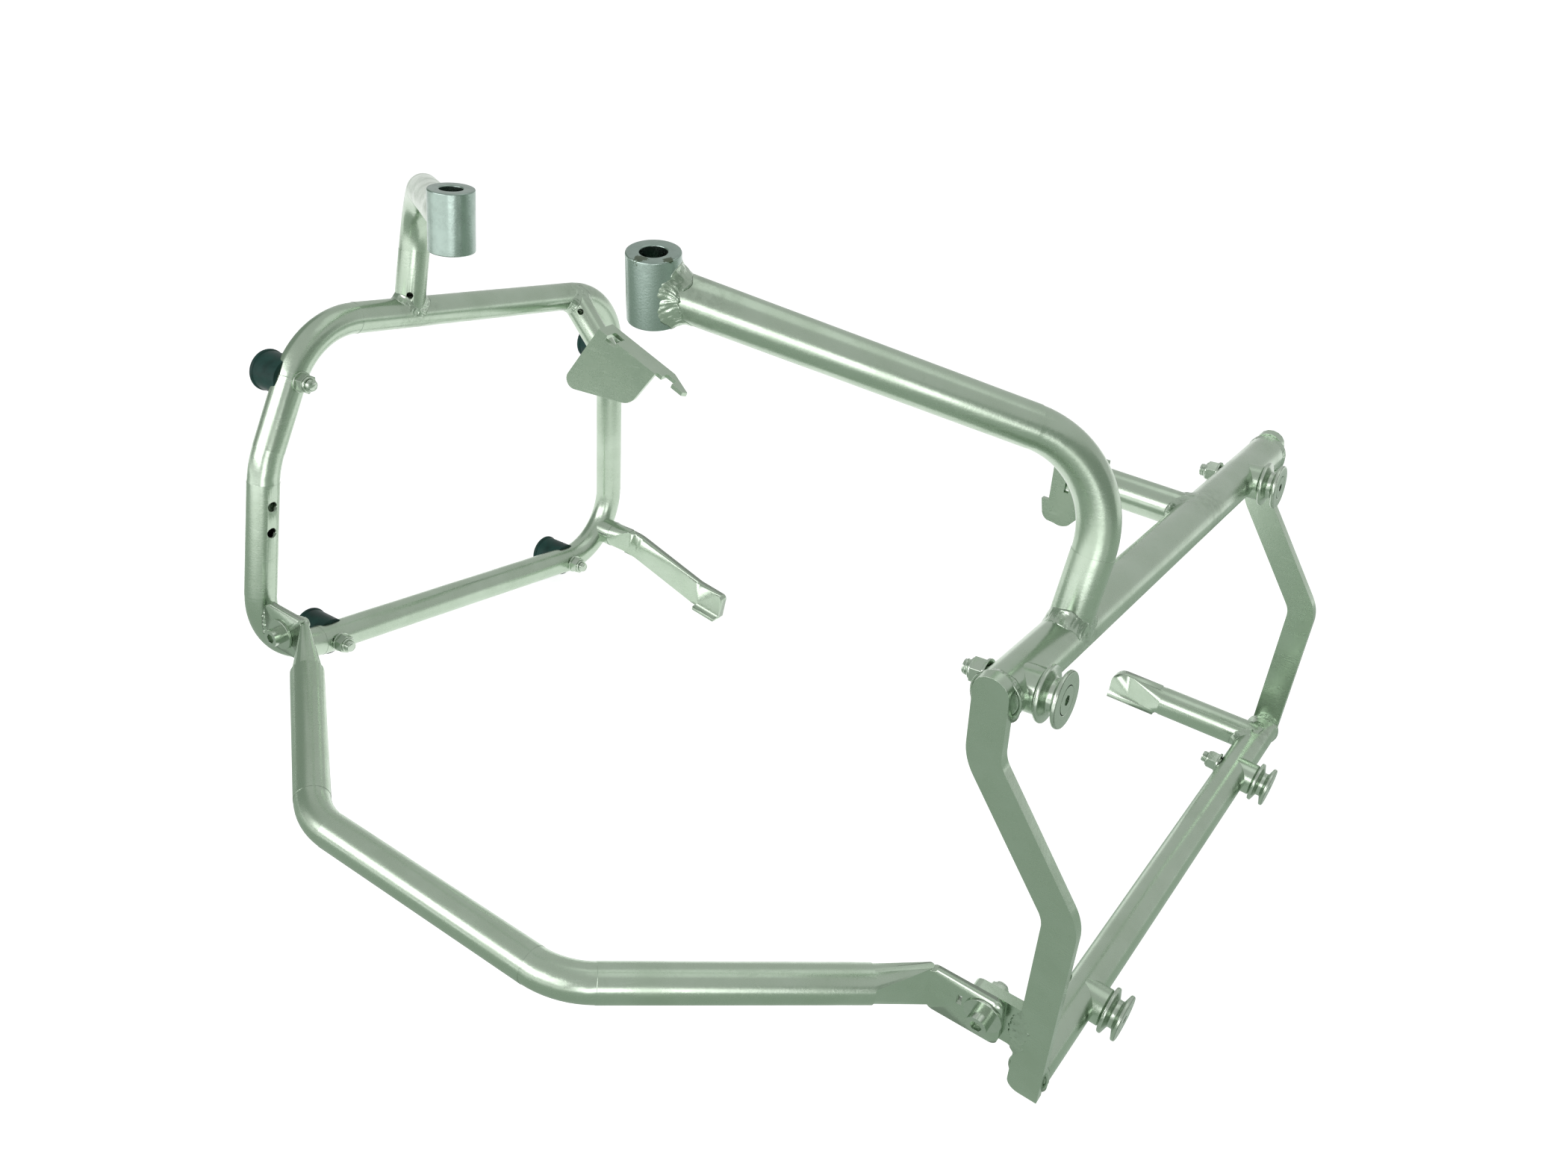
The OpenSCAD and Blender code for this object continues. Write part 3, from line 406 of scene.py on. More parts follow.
def flush_weld(name, start, end, normal, seed, leg):
    """Low weld along a butt joint of two plates: the fillet's section between toes on one plane."""
    path = start + (end - start) * np.linspace(0, 1, int(np.linalg.norm(end - start) / SEAM_STEP))[:, None]
    facing = np.broadcast_to(normal, path.shape)
    across = np.cross(unit(end - start), normal)
    rings = fillet(path, Side(facing, across), Side(facing, -across), False, seed, leg)
    return grid_mesh(name, rings, False, True)


# Steps round every turned piece
SPIN_STEPS = 48
# Threads of the M6 screws: shank, pitch, rings to a pitch, crest, clearance, and the end's bevel and pinhole
SCREW_R = 0.003
THREAD_PITCH = 0.001
THREAD_RINGS = 12
THREAD_H = 0.0003
THREAD_CLEAR = 0.00002
THREAD_BEVEL = 0.0004
THREAD_MIDDLE = 0.0002
# Turn of each screw's thread from the last, as a share of a pitch
THREAD_TURN = 0.37
# Nylon collars of the lock nuts
NYLON_R = 0.0046
NYLON_H = 0.0013
NYLON_SHOULDER = 0.0008
NYLON_SINK = 0.0002
NYLON_STEPS = 7
# Weld metal in a tube's end: its dome's height, its lap over the tube, its depth and inset, and its pinhole
# as a share of the radius
CAP_H = 0.0005
CAP_LAP = 0.00008
CAP_BACK = 0.0016
CAP_INSET = 0.00005
CAP_MIDDLE = 0.02
CAP_STEPS = 10
# Lip of a puck: its section's centre and half sizes, outwards from the axis and along it
LIP_CENTRE = (0.01105, 0.0192)
LIP_HALF = (0.00085, 0.0014)
LIP_STEPS = 16
# Angles round an axis start square to +Y, or square to +X where the axis has more of Y than this
MOSTLY_FORWARD = 0.8


def lathe(name, place, axis, radius, height, closed):
    """A profile of radius against height turned round an axis from a place."""
    axis = unit(np.array(axis, float))
    first = unit(np.cross(axis, (0.0, 1.0, 0.0) if abs(axis[1]) < MOSTLY_FORWARD else (1.0, 0.0, 0.0)))
    second = np.cross(axis, first)
    angle = full_turn(SPIN_STEPS)[:, None]
    out = np.cos(angle) * first + np.sin(angle) * second
    radius = np.broadcast_to(radius.reshape(len(radius), -1), (len(radius), SPIN_STEPS))
    points = place + height[:, None, None] * axis + radius[..., None] * out
    return grid_mesh(name, points, closed, True)


def thread(name, nut_face, axis, length, start):
    """Screw thread on a shank. The radius is the shank's plus a triangle wave of height along the axis less
    the turn's share of a pitch; the end is bevelled at 45 degrees to a flat with a pinhole in its middle."""
    angle = np.linspace(0, 1, SPIN_STEPS, endpoint=False)
    height = np.linspace(0, length, int(length / THREAD_PITCH * THREAD_RINGS))
    turn = height[:, None] / THREAD_PITCH - angle[None] + start
    crest = 1 - np.abs(2 * (turn - np.floor(turn)) - 1)
    radius = SCREW_R + THREAD_CLEAR + THREAD_H * crest
    radius = np.minimum(radius, SCREW_R - THREAD_BEVEL + (length - height)[:, None])
    middle = np.full((1, SPIN_STEPS), THREAD_MIDDLE)
    radius = np.concatenate((middle, radius, middle))
    height = np.concatenate(([0.0], height, [length + THREAD_CLEAR]))
    return lathe(name, nut_face, axis, radius, height, False)


def nylon_collar(name, nut_face, axis):
    """Round collar of a lock nut: straight side, quarter-round shoulder, and in to the thread."""
    bend = np.linspace(0, math.pi / 2, NYLON_STEPS)
    shoulder_r = NYLON_R - NYLON_SHOULDER * (1 - np.cos(bend))
    shoulder_h = NYLON_H - NYLON_SHOULDER * (1 - np.sin(bend))
    radius = np.concatenate(([SCREW_R, NYLON_R], shoulder_r, [SCREW_R]))
    height = np.concatenate(([-NYLON_SINK, -NYLON_SINK], shoulder_h, [NYLON_H - NYLON_SINK]))
    return lathe(name, nut_face, axis, radius, height, True)


def puck_lip(name, place, axis):
    """Moulded lip at a puck's outer edge: a ring of elliptic section."""
    turn = full_turn(LIP_STEPS)
    radius = LIP_CENTRE[0] + LIP_HALF[0] * np.cos(turn)
    height = LIP_CENTRE[1] + LIP_HALF[1] * np.sin(turn)
    return lathe(name, place, axis, radius, height, True)


def end_cap(name, centre, axis, radius):
    """Weld metal that closes a tube's end but for a pinhole: outwards, the height falls with the square of
    the share of the radius."""
    share = np.concatenate((np.linspace(CAP_MIDDLE, 1, CAP_STEPS), [1.0, CAP_MIDDLE]))
    height = -CAP_H * (1 - share ** 2) - CAP_LAP
    height[-2:] = CAP_BACK
    return lathe(name, centre, axis, radius * share, height, False)


class Number:
    """A number socket. Python's operators on it add Math nodes, so maths reads as a formula."""

    def __init__(self, tree, socket):
        self.tree = tree
        self.socket = socket

    def math(self, operation, *values):
        """A Math node of these values, which may be numbers or links."""
        made = self.tree.nodes.new("ShaderNodeMath")
        made.operation = operation
        for slot, value in zip(made.inputs, values):
            if isinstance(value, Number):
                self.tree.links.new(value.socket, slot)
            else:
                slot.default_value = value
        return Number(self.tree, made.outputs[0])

    def __add__(self, other):
        return self.math("ADD", self, other)

    def __sub__(self, other):
        return self.math("SUBTRACT", self, other)

    def __rsub__(self, other):
        return self.math("SUBTRACT", other, self)

    def __mul__(self, other):
        return self.math("MULTIPLY", self, other)

    def __truediv__(self, other):
        return self.math("DIVIDE", self, other)

    def __rtruediv__(self, other):
        return self.math("DIVIDE", other, self)

    def __pow__(self, other):
        return self.math("POWER", self, other)

    def __rpow__(self, other):
        return self.math("POWER", other, self)

    __radd__ = __add__
    __rmul__ = __mul__

    def least(self, other):
        """The smaller of two numbers."""
        return self.math("MINIMUM", self, other)

    def most(self, other):
        """The larger of two numbers."""
        return self.math("MAXIMUM", self, other)

    def ramp(self, low, high):
        """0 below low and 1 above high, and in between a straight rise."""
        return ((self - low) / (high - low)).most(0.0).least(1.0)


class Finish:
    """Builds the nodes of one material, or of the room."""

    def __init__(self, owner):
        owner.use_nodes = True
        self.owner = owner
        self.tree = owner.node_tree
        self.tree.nodes.clear()

    def node(self, kind, settings=None, inputs=None):
        """A node of this type, with its settings put in first and then its sockets' values or links."""
        made = self.tree.nodes.new(kind)
        for key, value in (settings or {}).items():
            setattr(made, key, value)
        for key, value in (inputs or {}).items():
            source = value.socket if isinstance(value, Number) else value
            if isinstance(source, bpy.types.NodeSocket):
                self.tree.links.new(source, made.inputs[key])
            else:
                made.inputs[key].default_value = source
        return made

    def number(self, made, output=0):
        """One of a node's outputs as a number."""
        return Number(self.tree, made.outputs[output])

    def place(self):
        """Object coordinates."""
        return self.node("ShaderNodeTexCoord").outputs["Object"]

    def stretched(self, scale):
        """Object coordinates, scaled on each axis."""
        return self.node("ShaderNodeMapping", None, {"Vector": self.place(), "Scale": scale}).outputs[0]

    def noise(self, scale, detail, rough=0.55, vector=None):
        """Soft random numbers from 0 to 1, with about this many features to a metre."""
        return self.number(self.node("ShaderNodeTexNoise", None, {
            "Vector": vector or self.place(), "Scale": scale, "Detail": detail, "Roughness": rough}))

    def near(self, centre, reach):
        """1 at a place, falling to 0 at reach from it."""
        apart = self.node("ShaderNodeVectorMath", {"operation": "DISTANCE"}, {0: self.place(), 1: centre})
        return 1.0 - self.number(apart, "Value").ramp(0.0, reach)

    def mix(self, share, low, high):
        """Colour between low and high."""
        return self.node("ShaderNodeMix", {"data_type": "RGBA"}, {0: share, 6: low, 7: high}).outputs[2]

    def bump(self, height, strength, distance):
        """Normals of a surface raised by this height."""
        return self.node("ShaderNodeBump", None, {
            "Height": height, "Strength": strength, "Distance": distance}).outputs["Normal"]

    def surface(self, inputs):
        """Finishes the material with the main shader."""
        return self.output(self.node("ShaderNodeBsdfPrincipled", None, inputs))

    def output(self, shader, kind="ShaderNodeOutputMaterial"):
        """Links a shader to the output and gives back the material or the room."""
        self.node(kind, None, {"Surface": shader.outputs[0]})
        return self.owner


def new_finish(name):
    """The nodes of a new material."""
    return Finish(bpy.data.materials.new(name))


def rgba(colour):
    """A colour with full alpha."""
    return (*colour, 1.0)


# How much darker or paler the second tone of the sleeves and of the rubber is
SLEEVE_SHADE = 0.62
RUBBER_PALE = 1.9
# How strongly the plating's clouds, speckles and weld bloom change its tone, and how fast the bloom falls
CLOUD_TONE = 0.55
SPECKLE_TONE = 0.25
BLOOM_TONE = 0.55
BLOOM_FALL = 1.4
# How strongly the plating's patterns change its roughness, and what is taken off to keep its mean
CLOUD_ROUGH = 0.10
GRAIN_ROUGH = 0.08
SCRATCH_ROUGH = 0.08
BLOOM_ROUGH = 0.12
MEAN_ROUGH = 0.10
# Scratches are this much shorter upwards than along
SCRATCH_STRETCH = (1.0, 1.0, 14.0)


def plated(name, colour, shade, roughness, stain, stained):
    """Satin zinc: broad clouds, speckles, fine grain, faint scratches, and a dark bloom beside welds."""
    finish = new_finish(name)
    clouds = finish.noise(scale=45.0, detail=4.0).ramp(low=0.32, high=0.70)
    grain = finish.noise(scale=900.0, detail=2.0)
    speckle = finish.noise(scale=320.0, detail=3.0, rough=0.7).ramp(low=0.60, high=0.74)
    along = finish.stretched(SCRATCH_STRETCH)
    scratch = finish.noise(scale=40.0, detail=4.0, rough=0.7, vector=along).ramp(low=0.58, high=0.66)
    tone = finish.mix((clouds * CLOUD_TONE + speckle * SPECKLE_TONE).least(1.0), rgba(colour), rgba(shade))
    rough = (roughness - MEAN_ROUGH) + clouds * CLOUD_ROUGH + grain * GRAIN_ROUGH + scratch * SCRATCH_ROUGH
    bloom = finish.near(*stained[0])
    for spot in stained[1:]:
        bloom = bloom.most(finish.near(*spot))
    patches = finish.noise(scale=230.0, detail=4.0, rough=0.7).ramp(low=0.42, high=0.66)
    bloom = (bloom ** BLOOM_FALL * patches * BLOOM_TONE).least(1.0)
    height = grain * 0.5 + finish.noise(scale=260.0, detail=3.0) * 0.5
    return finish.surface({
        "Base Color": finish.mix(bloom, tone, rgba(stain)), "Metallic": 1.0,
        "Roughness": rough + bloom * BLOOM_ROUGH,
        "Normal": finish.bump(height, strength=0.12, distance=0.0004)})


def weld_metal(name, colour, stain, roughness):
    """Plated weld: the tube's own zinc with small dark pits and a livelier, lumpier skin."""
    finish = new_finish(name)
    pits = finish.noise(scale=420.0, detail=4.0, rough=0.7).ramp(low=0.60, high=0.72)
    clouds = finish.noise(scale=150.0, detail=4.0, rough=0.65).ramp(low=0.40, high=0.70)
    tone = finish.mix((pits * 0.7 + clouds * 0.25).least(1.0), rgba(colour), rgba(stain))
    lumps = finish.noise(scale=300.0, detail=4.0, rough=0.6)
    grain = finish.noise(scale=900.0, detail=2.0)
    return finish.surface({
        "Base Color": tone, "Metallic": 1.0, "Roughness": roughness + clouds * 0.12,
        "Normal": finish.bump(lumps * 0.7 + grain * 0.3, strength=0.45, distance=0.0008)})


def turned(name, colour, shade, roughness, stain=None, chips=()):
    """Turned and plated steel: blotches and fine grain, and dark chips where the plating is knocked off. A
    chip is where nearness to its place and noise together pass a limit."""
    finish = new_finish(name)
    blotch = finish.noise(scale=210.0, detail=5.0, rough=0.65).ramp(low=0.42, high=0.72)
    grain = finish.noise(scale=1100.0, detail=2.0)
    tone = finish.mix(blotch * 0.35, rgba(colour), rgba(shade))
    for place, reach in chips:
        ragged = finish.noise(scale=420.0, detail=4.0, rough=0.7) * 1.4
        tone = finish.mix((finish.near(place, reach) + ragged).ramp(low=1.24, high=1.30), tone, rgba(stain))
    return finish.surface({
        "Base Color": tone, "Metallic": 1.0, "Roughness": roughness + blotch * 0.08 + grain * 0.05,
        "Normal": finish.bump(grain, strength=0.10, distance=0.0003)})


def moulded_rubber(name, colour):
    """Matt rubber with paler, greener clouds and a fine moulded grain."""
    finish = new_finish(name)
    grain = finish.noise(scale=1400.0, detail=2.0)
    clouds = finish.noise(scale=120.0, detail=3.0).ramp(low=0.35, high=0.75)
    tone = finish.mix(clouds, rgba(colour), rgba([c * RUBBER_PALE for c in colour]))
    return finish.surface({
        "Base Color": tone, "Roughness": 0.38 + clouds * 0.15, "Specular IOR Level": 0.22,
        "Normal": finish.bump(grain, strength=0.25, distance=0.0002)})


# Width of the softened edges of each kind of piece, the angle past which an edge is softened, and how near
# two vertices of a CAD node's loose triangles are taken as one
TUBE_EDGE = 0.0
SHEET_EDGE = 0.0004
TURNED_EDGE = 0.0004
SLEEVE_EDGE = 0.0006
FASTENER_EDGE = 0.0002
PUCK_EDGE = 0.0008
SHARP_ANGLE = math.radians(38)
MERGE_DISTANCE = 2e-6


def dress(node, material, bevel):
    """Gives a CAD node its material and soft edges. Its own vertices stay as they are."""
    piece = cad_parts[node]
    piece.data.materials.clear()
    piece.data.materials.append(material)
    piece.data.polygons.foreach_set("use_smooth", np.ones(len(piece.data.polygons), bool))
    weld = piece.modifiers.new("Weld", "WELD")
    weld.merge_threshold = MERGE_DISTANCE
    if bevel:
        edge = piece.modifiers.new("Bevel", "BEVEL")
        edge.width = bevel
        edge.segments = 2
        edge.limit_method = "ANGLE"
        edge.angle_limit = SHARP_ANGLE
    shade = piece.modifiers.new("Normals", "WEIGHTED_NORMAL")
    shade.keep_sharp = True


# Roughness of the turned spools, the sleeves, the weld beads and the fasteners
SPOOL_ROUGHNESS = 0.20
SLEEVE_ROUGHNESS = 0.20
WELD_ROUGHNESS = 0.19
FASTENER_ROUGHNESS = 0.15


class PANNIER_OT_metalwork(bpy.types.Operator):
    """Plates the tubes, sheets and sleeves"""

    bl_idname = "pannier.metalwork"
    bl_label = "Metalwork"

    def execute(self, context):
        finish = context.scene.pannier_finish
        zinc = plated("satin_zinc", finish.zinc_colour, finish.shade_colour, finish.zinc_roughness,
                      finish.stain_colour, WELD_STAINS)
        bright = turned("turned_zinc", finish.bright_colour, finish.shade_colour, SPOOL_ROUGHNESS)
        shade = [c * SLEEVE_SHADE for c in finish.sleeve_colour]
        sleeve = turned("sleeve_zinc", finish.sleeve_colour, shade, SLEEVE_ROUGHNESS, finish.stain_colour,
                        SLEEVE_CHIPS)
        for nodes, material, slot, edge in (
                (TUBES, zinc, "zinc_steel", TUBE_EDGE),
                (SHEETS + COLLARS, zinc, "zinc_steel", SHEET_EDGE),
                (SPOOLS, bright, "turned_steel", TURNED_EDGE),
                (SLEEVES, sleeve, "turned_steel", SLEEVE_EDGE)):
            for node in nodes:
                dress(node, material, edge)
        return {"FINISHED"}


# Saddle welds: the piece's name, the main tube and its radius, the branch, and the weld's leg
LEFT_SLEEVE = (LEFT_ARM[0], LEFT_ARM[0] + UPRIGHT)
RIGHT_SLEEVE = (RIGHT_ARM[0], RIGHT_ARM[0] + RIGHT_SLEEVE_AXIS)
UPPER_TUBE = (UPPER_REAR, UPPER_FRONT)
LOWER_TUBE = (LOWER_REAR, LOWER_FRONT)
SADDLES = (
    ("weld_left_arm_foot", HOOP_TOP, TUBE_R, LEFT_ARM[:0:-1], 0.0036),
    ("weld_left_stub", HOOP_TOP, TUBE_R, LEFT_STUB, 0.0032),
    ("weld_left_sleeve", LEFT_SLEEVE, SLEEVE_R, LEFT_ARM[:2], 0.0040),
    ("weld_right_arm_foot", UPPER_TUBE, UPPER_R, RIGHT_ARM[:0:-1], 0.0044),
    ("weld_right_sleeve", RIGHT_SLEEVE, SLEEVE_R, RIGHT_ARM[:2], 0.0050),
    ("weld_right_stub", UPPER_TUBE, UPPER_R, RIGHT_STUB, 0.0036),
    ("weld_right_lower_arm", LOWER_TUBE, TUBE_R, RIGHT_LOWER_ARM, 0.0036))
# Ring welds at the plates: the piece's name, the tube's end and its far end, 1 where the tube runs along the
# plates' normal and -1 where it runs against it, and the tube's radius
RINGS = (
    ("weld_upper_rear", UPPER_REAR, UPPER_FRONT, 1, UPPER_R),
    ("weld_upper_front", UPPER_FRONT, UPPER_REAR, -1, UPPER_R),
    ("weld_lower_rear", LOWER_REAR, LOWER_FRONT, 1, TUBE_R),
    ("weld_lower_front", LOWER_FRONT, LOWER_REAR, -1, TUBE_R))
RING_LEG = 0.0036
TAB_LEG = 0.0044
# Seed of the first ring weld, and seeds of the two sides of each tab's weld
RING_SEED = 20
LEFT_TAB_SEEDS = (29, 31)
RIGHT_TAB_SEEDS = (40, 41)


def lay_saddles(weld):
    """Welds of the arms, stubs and sleeves."""
    for seed, (name, main, main_r, branch, leg) in enumerate(SADDLES):
        half_length = SLEEVE_H / 2 if main_r == SLEEVE_R else math.inf
        made = saddle_weld(name, main, main_r, branch, TUBE_R, seed, leg, half_length)
        add_piece(name, [made], weld)


def lay_rings(weld):
    """Welds of the two long tubes to the plates, with the weld metal that closes the tubes."""
    for seed, (name, place, far, side, radius) in enumerate(RINGS, RING_SEED):
        face = place + PLATE_NORMAL * (PLATE_T if side > 0 else 0.0)
        made = ring_weld(name, face, far - place, side * PLATE_NORMAL, radius, seed, RING_LEG)
        cap = end_cap(name, face, side * PLATE_NORMAL, radius - CAP_INSET)
        add_piece(name, [made, cap], weld)


def lay_tab_welds(weld):
    """Welds on both faces of each tab, to the hoop and to the rear plate."""
    lo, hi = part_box("left_tab")
    name = "weld_left_tab"
    sides = [tab_weld(name, HOOP_REAR, TUBE_R, y, lo[2], hi[2], side, seed, TAB_LEG)
             for y, side, seed in zip((lo[1], hi[1]), (-1.0, 1.0), LEFT_TAB_SEEDS)]
    add_piece(name, sides, weld)
    name = "weld_right_tab"
    foot, top = (RIGHT_BOLT + np.array((TAB_REACH, 0.0, 0.0)) + rise * PLATE_UP for rise in TAB_SEAM)
    sides = [flush_weld(name, foot + depth * PLATE_NORMAL, top + depth * PLATE_NORMAL,
                        side * PLATE_NORMAL, seed, TAB_LEG)
             for depth, side, seed in zip((0.0, TAB_T), (-1.0, 1.0), RIGHT_TAB_SEEDS)]
    add_piece(name, sides, weld)


class PANNIER_OT_welds(bpy.types.Operator):
    """Lays the weld beads"""

    bl_idname = "pannier.welds"
    bl_label = "Weld beads"

    def execute(self, context):
        finish = context.scene.pannier_finish
        weld = weld_metal("weld_bead", finish.zinc_colour, finish.stain_colour, WELD_ROUGHNESS)
        lay_saddles(weld)
        lay_rings(weld)
        lay_tab_welds(weld)
        return {"FINISHED"}


def screw_ends():
    """For each group of fasteners, each nut's outer face with the way out of it, and the screws' reach."""
    stack = WASHER_T + CASE_NUT_H
    left = [(place - LEFT_OUT * (TUBE_R + stack), -LEFT_OUT) for place in LEFT_FITTINGS]
    right = []
    for place, tilt, radius in RIGHT_FITTINGS:
        out = np.array((math.cos(math.radians(tilt)), 0.0, math.sin(math.radians(tilt))))
        right.append((place - out * (radius + stack), -out))
    bolts = [(place + axis * (TAB_T + BAR_NUT_H), axis) for place, axis in CROSSBAR_BOLTS]
    return zip(FASTENER_GROUPS, (left, right, bolts), (CASE_SCREW_END, CASE_SCREW_END, BAR_SCREW_END))


class PANNIER_OT_fasteners(bpy.types.Operator):
    """Plates the screws, washers and nuts, and cuts their threads"""

    bl_idname = "pannier.fasteners"
    bl_label = "Fasteners"

    def execute(self, context):
        finish = context.scene.pannier_finish
        bright = turned("fastener_zinc", finish.bright_colour, finish.shade_colour, FASTENER_ROUGHNESS)
        for group in FASTENER_GROUPS:
            for kind in FASTENER_KINDS:
                dress(f"{group}_{kind}", bright, FASTENER_EDGE)
        for group, ends, length in screw_ends():
            threads = [thread(group, place, axis, length, THREAD_TURN * turn)
                       for turn, (place, axis) in enumerate(ends)]
            add_piece(f"{group}_threads", threads, bright)
            collars = [nylon_collar(group, place, axis) for place, axis in ends]
            add_piece(f"{group}_nut_collars", collars, bright)
        return {"FINISHED"}


class PANNIER_OT_pucks(bpy.types.Operator):
    """Moulds the rubber pucks"""

    bl_idname = "pannier.pucks"
    bl_label = "Rubber pucks"

    def execute(self, context):
        rubber = moulded_rubber("rubber", context.scene.pannier_finish.rubber_colour)
        for node, place in zip(PUCKS, LEFT_FITTINGS):
            dress(node, rubber, PUCK_EDGE)
            add_piece(f"{node}_lip", [puck_lip(node, place, LEFT_OUT)], rubber)
        return {"FINISHED"}


# The photograph's camera, solved together with the tubes: metres, degrees and pixels
IMAGE_W = 2100
IMAGE_H = 1574
CAMERA_PLACE = (0.295555, -0.37518, 0.152517)
CAMERA_AZIMUTH = 33.295
CAMERA_ELEVATION = 27.118
CAMERA_ROLL = 5.454
CAMERA_FOCAL_PX = 1822.43
CAMERA_CENTRE_PX = (998.5, 695.4)
SENSOR_MM = 36.0
NEAREST = 0.01

WHITE = (1.0, 1.0, 1.0)
LAMP_COLOUR = (1.0, 0.92, 0.99)
CARD_COLOUR = (0.88, 1.0, 0.89)
# Lamps: place from the object's middle, size, the setting that holds the power, and colour
LAMPS = (
    ("key", (-0.45, -1.75, 0.62), (2.1, 0.85), "key_power", LAMP_COLOUR),
    ("fill", (1.03, -1.23, 0.06), (0.75, 0.48), "fill_power", LAMP_COLOUR),
    ("top", (0.3, 0.5, 1.9), (1.6, 1.2), "top_power", WHITE))
# Grey cards that only the metal mirrors: a corner above the floor, two sides, and how bright they are
CARDS = (
    ("floor_card_front", (-1.10, -0.50, 0.001), (2.2, 0.0, 0.0), (0.0, 0.55, 0.0), 0.50),
    ("floor_card_right", (0.10, 0.05, 0.001), (1.50, 0.0, 0.0), (0.0, 1.0, 0.0), 0.54),
    ("right_card", (1.60, -0.90, 0.0), (0.0, 2.0, 0.0), (0.0, 0.0, 1.0), 0.36),
    ("left_card", (-1.70, -0.80, 0.0), (0.0, 1.5, 0.0), (0.0, 0.0, 1.6), 0.38))
# How far the floor reaches, its lines of vertices each way, and how far it lies under the object
FLOOR_REACH = 40.0
FLOOR_LINES = 9
FLOOR_DROP = 0.002


def camera_turn():
    """Rotation whose columns are the camera's right, up and backward directions."""
    az, el, roll = (math.radians(a) for a in (CAMERA_AZIMUTH, CAMERA_ELEVATION, CAMERA_ROLL))
    ahead = Vector((-math.sin(az) * math.cos(el), math.cos(az) * math.cos(el), -math.sin(el)))
    right = Vector((math.cos(az), math.sin(az), 0.0))
    up = right.cross(ahead)
    turned_right = right * math.cos(roll) + up * math.sin(roll)
    turned_up = up * math.cos(roll) - right * math.sin(roll)
    return Matrix((turned_right, turned_up, -ahead)).transposed()


def place_camera(scene):
    """The photograph's camera: the shift moves the picture's middle to the solved centre."""
    data = bpy.data.cameras.new("camera")
    camera = bpy.data.objects.new("camera", data)
    scene.collection.objects.link(camera)
    camera.matrix_world = Matrix.Translation(CAMERA_PLACE) @ camera_turn().to_4x4()
    data.sensor_width = SENSOR_MM
    data.lens = CAMERA_FOCAL_PX / IMAGE_W * SENSOR_MM
    data.shift_x = (IMAGE_W / 2 - CAMERA_CENTRE_PX[0]) / IMAGE_W
    data.shift_y = (CAMERA_CENTRE_PX[1] - IMAGE_H / 2) / IMAGE_W
    data.clip_start = NEAREST
    scene.camera = camera


def hang_lamp(scene, name, place, target, size, power, colour):
    """A rectangular soft box at a place, turned to its target."""
    data = bpy.data.lights.new(name, "AREA")
    data.color = colour
    data.shape = "RECTANGLE"
    data.size, data.size_y = size
    data.energy = power
    lamp = bpy.data.objects.new(name, data)
    scene.collection.objects.link(lamp)
    lamp.location = place
    lamp.rotation_euler = (Vector(target) - Vector(place)).to_track_quat("-Z", "Y").to_euler()


def seen(finish):
    """1 for what the camera sees directly, and 1 for what it sees mirrored or through glass."""
    path = finish.node("ShaderNodeLightPath")
    mirrored = finish.number(path, "Is Glossy Ray").most(finish.number(path, "Is Transmission Ray"))
    return finish.number(path, "Is Camera Ray"), mirrored


def lay_floor(scene, stage, height):
    """A flat floor of diffuse paint that takes shadows, with a glow that shows directly and in mirrors."""
    across = np.linspace(-FLOOR_REACH, FLOOR_REACH, FLOOR_LINES)
    x, y = np.meshgrid(across, across)
    floor = bpy.data.objects.new("floor", grid_mesh("floor", np.stack((x, y, np.full_like(x, height)), -1)))
    scene.collection.objects.link(floor)
    paint = new_finish("floor_paint")
    direct, mirrored = seen(paint)
    lit = paint.node("ShaderNodeBsdfDiffuse", None, {"Color": rgba(stage.floor_colour)})
    glow = paint.node("ShaderNodeEmission", None, {"Strength": direct.most(mirrored) * stage.floor_glow})
    both = paint.node("ShaderNodeAddShader", None, {0: lit.outputs[0], 1: glow.outputs[0]})
    floor.data.materials.append(paint.output(both))


def stand_card(scene, height, name, corner, side, rise, grey):
    """A flat card of even light that shows only in reflections."""
    paint = new_finish(name)
    shade = paint.node("ShaderNodeEmission", None, {"Color": rgba(CARD_COLOUR), "Strength": grey})
    corner, side, rise = (np.array(v) for v in (corner, side, rise))
    corner = corner + height * UPRIGHT
    corners = np.array([[corner, corner + rise], [corner + side, corner + side + rise]])
    card = bpy.data.objects.new(name, grid_mesh(name, corners))
    scene.collection.objects.link(card)
    card.data.materials.append(paint.output(shade))
    card.visible_camera = False
    card.visible_diffuse = False
    card.visible_shadow = False


def light_room(scene, stage):
    """A room that is white to the camera, a little darker in reflections, and lights the object evenly."""
    world = bpy.data.worlds.new("room")
    scene.world = world
    room = Finish(world)
    direct, mirrored = seen(room)
    strength = direct.most(mirrored * stage.mirrored_light).most(stage.world_light)
    light = room.node("ShaderNodeBackground", None, {"Color": rgba(WHITE), "Strength": strength})
    room.output(light, "ShaderNodeOutputWorld")


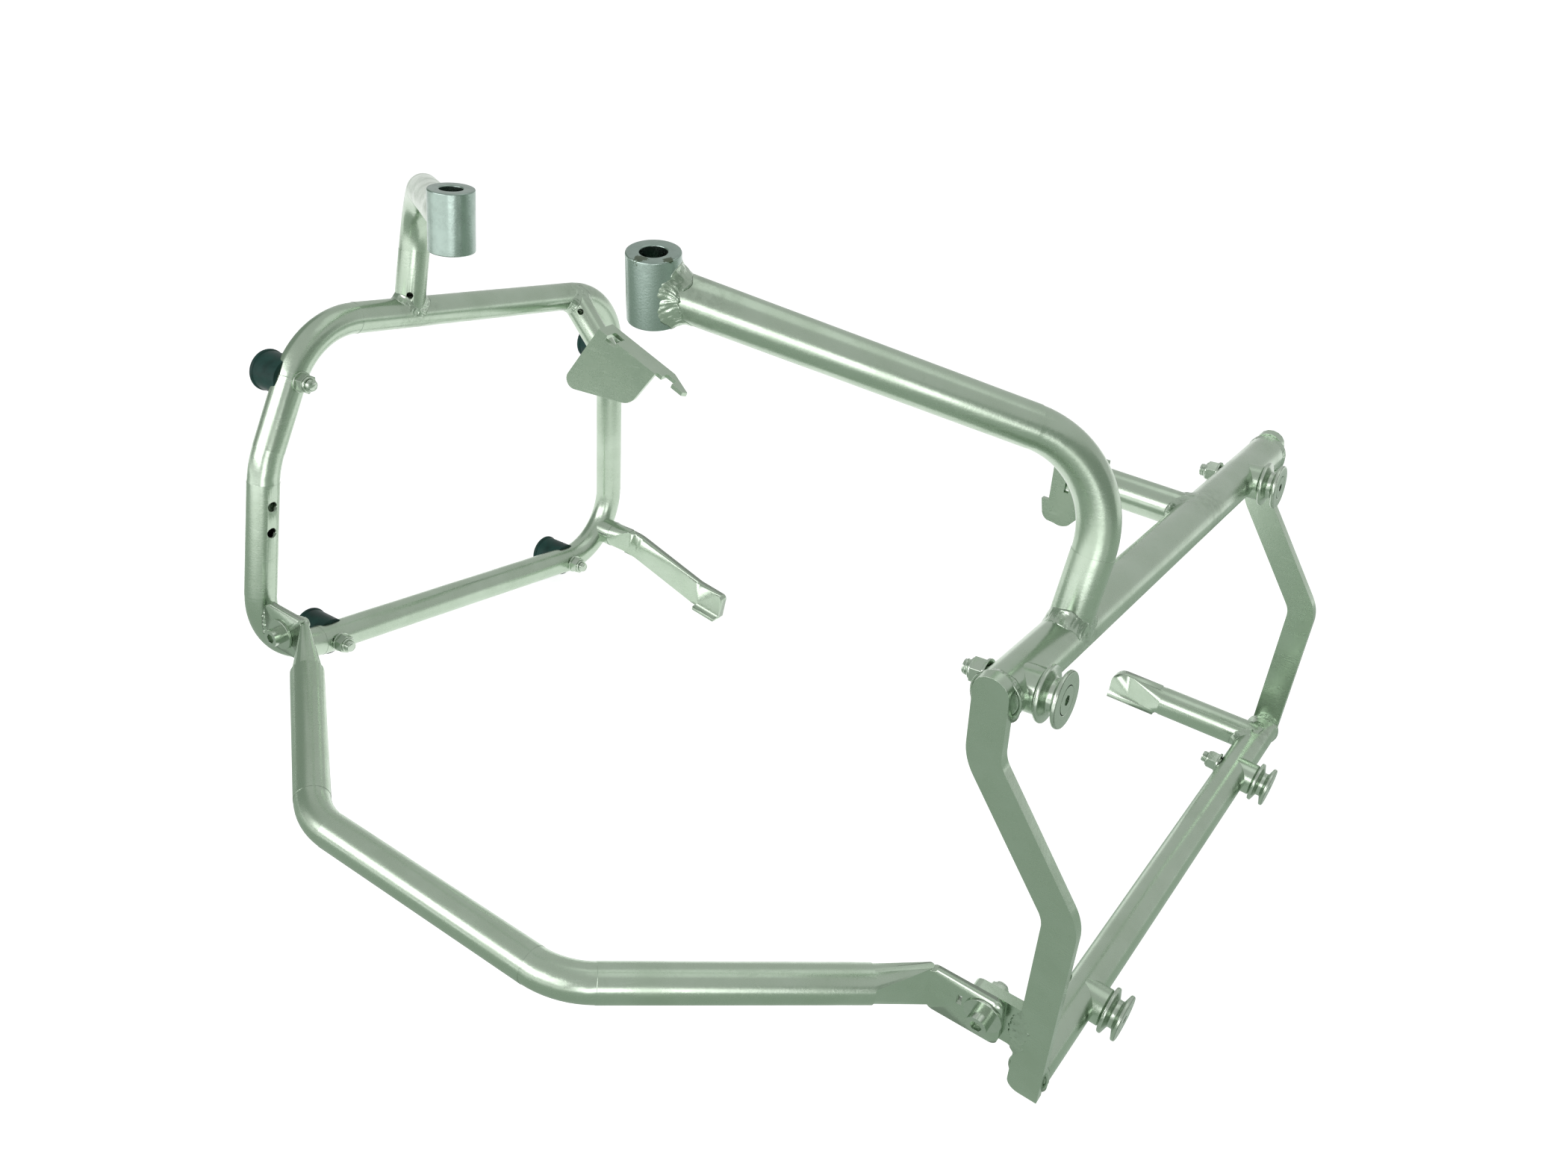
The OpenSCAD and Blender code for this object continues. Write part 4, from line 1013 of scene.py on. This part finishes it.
class PANNIER_OT_stage(bpy.types.Operator):
    """Floor, lamps, background and the photograph's camera"""

    bl_idname = "pannier.stage"
    bl_label = "Stage"

    def execute(self, context):
        scene = context.scene
        stage = scene.pannier_stage
        lo, hi = cad_box
        middle = (lo + hi) / 2
        floor_z = lo.z - FLOOR_DROP
        lay_floor(scene, stage, floor_z)
        for name, place, size, power, colour in LAMPS:
            hang_lamp(scene, name, middle + Vector(place), middle, size, getattr(stage, power), colour)
        for card in CARDS:
            stand_card(scene, floor_z, *card)
        light_room(scene, stage)
        place_camera(scene)
        scene.view_settings.view_transform = "Standard"
        return {"FINISHED"}


class PANNIER_PT_panel(bpy.types.Panel):
    """Lists the operators and the settings"""

    bl_label = "Pannier Frame"
    bl_space_type = "VIEW_3D"
    bl_region_type = "UI"
    bl_category = "Pannier Frame"

    def draw(self, context):
        for operator in OPERATORS:
            self.layout.operator(operator.bl_idname)
        for settings in (context.scene.pannier_finish, context.scene.pannier_stage):
            for name in settings.__annotations__:
                self.layout.prop(settings, name)


OPERATORS = (PANNIER_OT_metalwork, PANNIER_OT_welds, PANNIER_OT_fasteners, PANNIER_OT_pucks, PANNIER_OT_stage)
CLASSES = (FinishSettings, StageSettings) + OPERATORS + (PANNIER_PT_panel,)


def register():
    """Adds the classes and the scene's settings to Blender."""
    for made in CLASSES:
        bpy.utils.register_class(made)
    bpy.types.Scene.pannier_finish = bpy.props.PointerProperty(type=FinishSettings)
    bpy.types.Scene.pannier_stage = bpy.props.PointerProperty(type=StageSettings)


def unregister():
    """Takes them out again."""
    del bpy.types.Scene.pannier_stage
    del bpy.types.Scene.pannier_finish
    for made in reversed(CLASSES):
        bpy.utils.unregister_class(made)


def main():
    """Makes everything in order."""
    register()
    bpy.ops.pannier.metalwork()
    bpy.ops.pannier.welds()
    bpy.ops.pannier.fasteners()
    bpy.ops.pannier.pucks()
    bpy.ops.pannier.stage()
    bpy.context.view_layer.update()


if __name__ == "__main__":
    main()
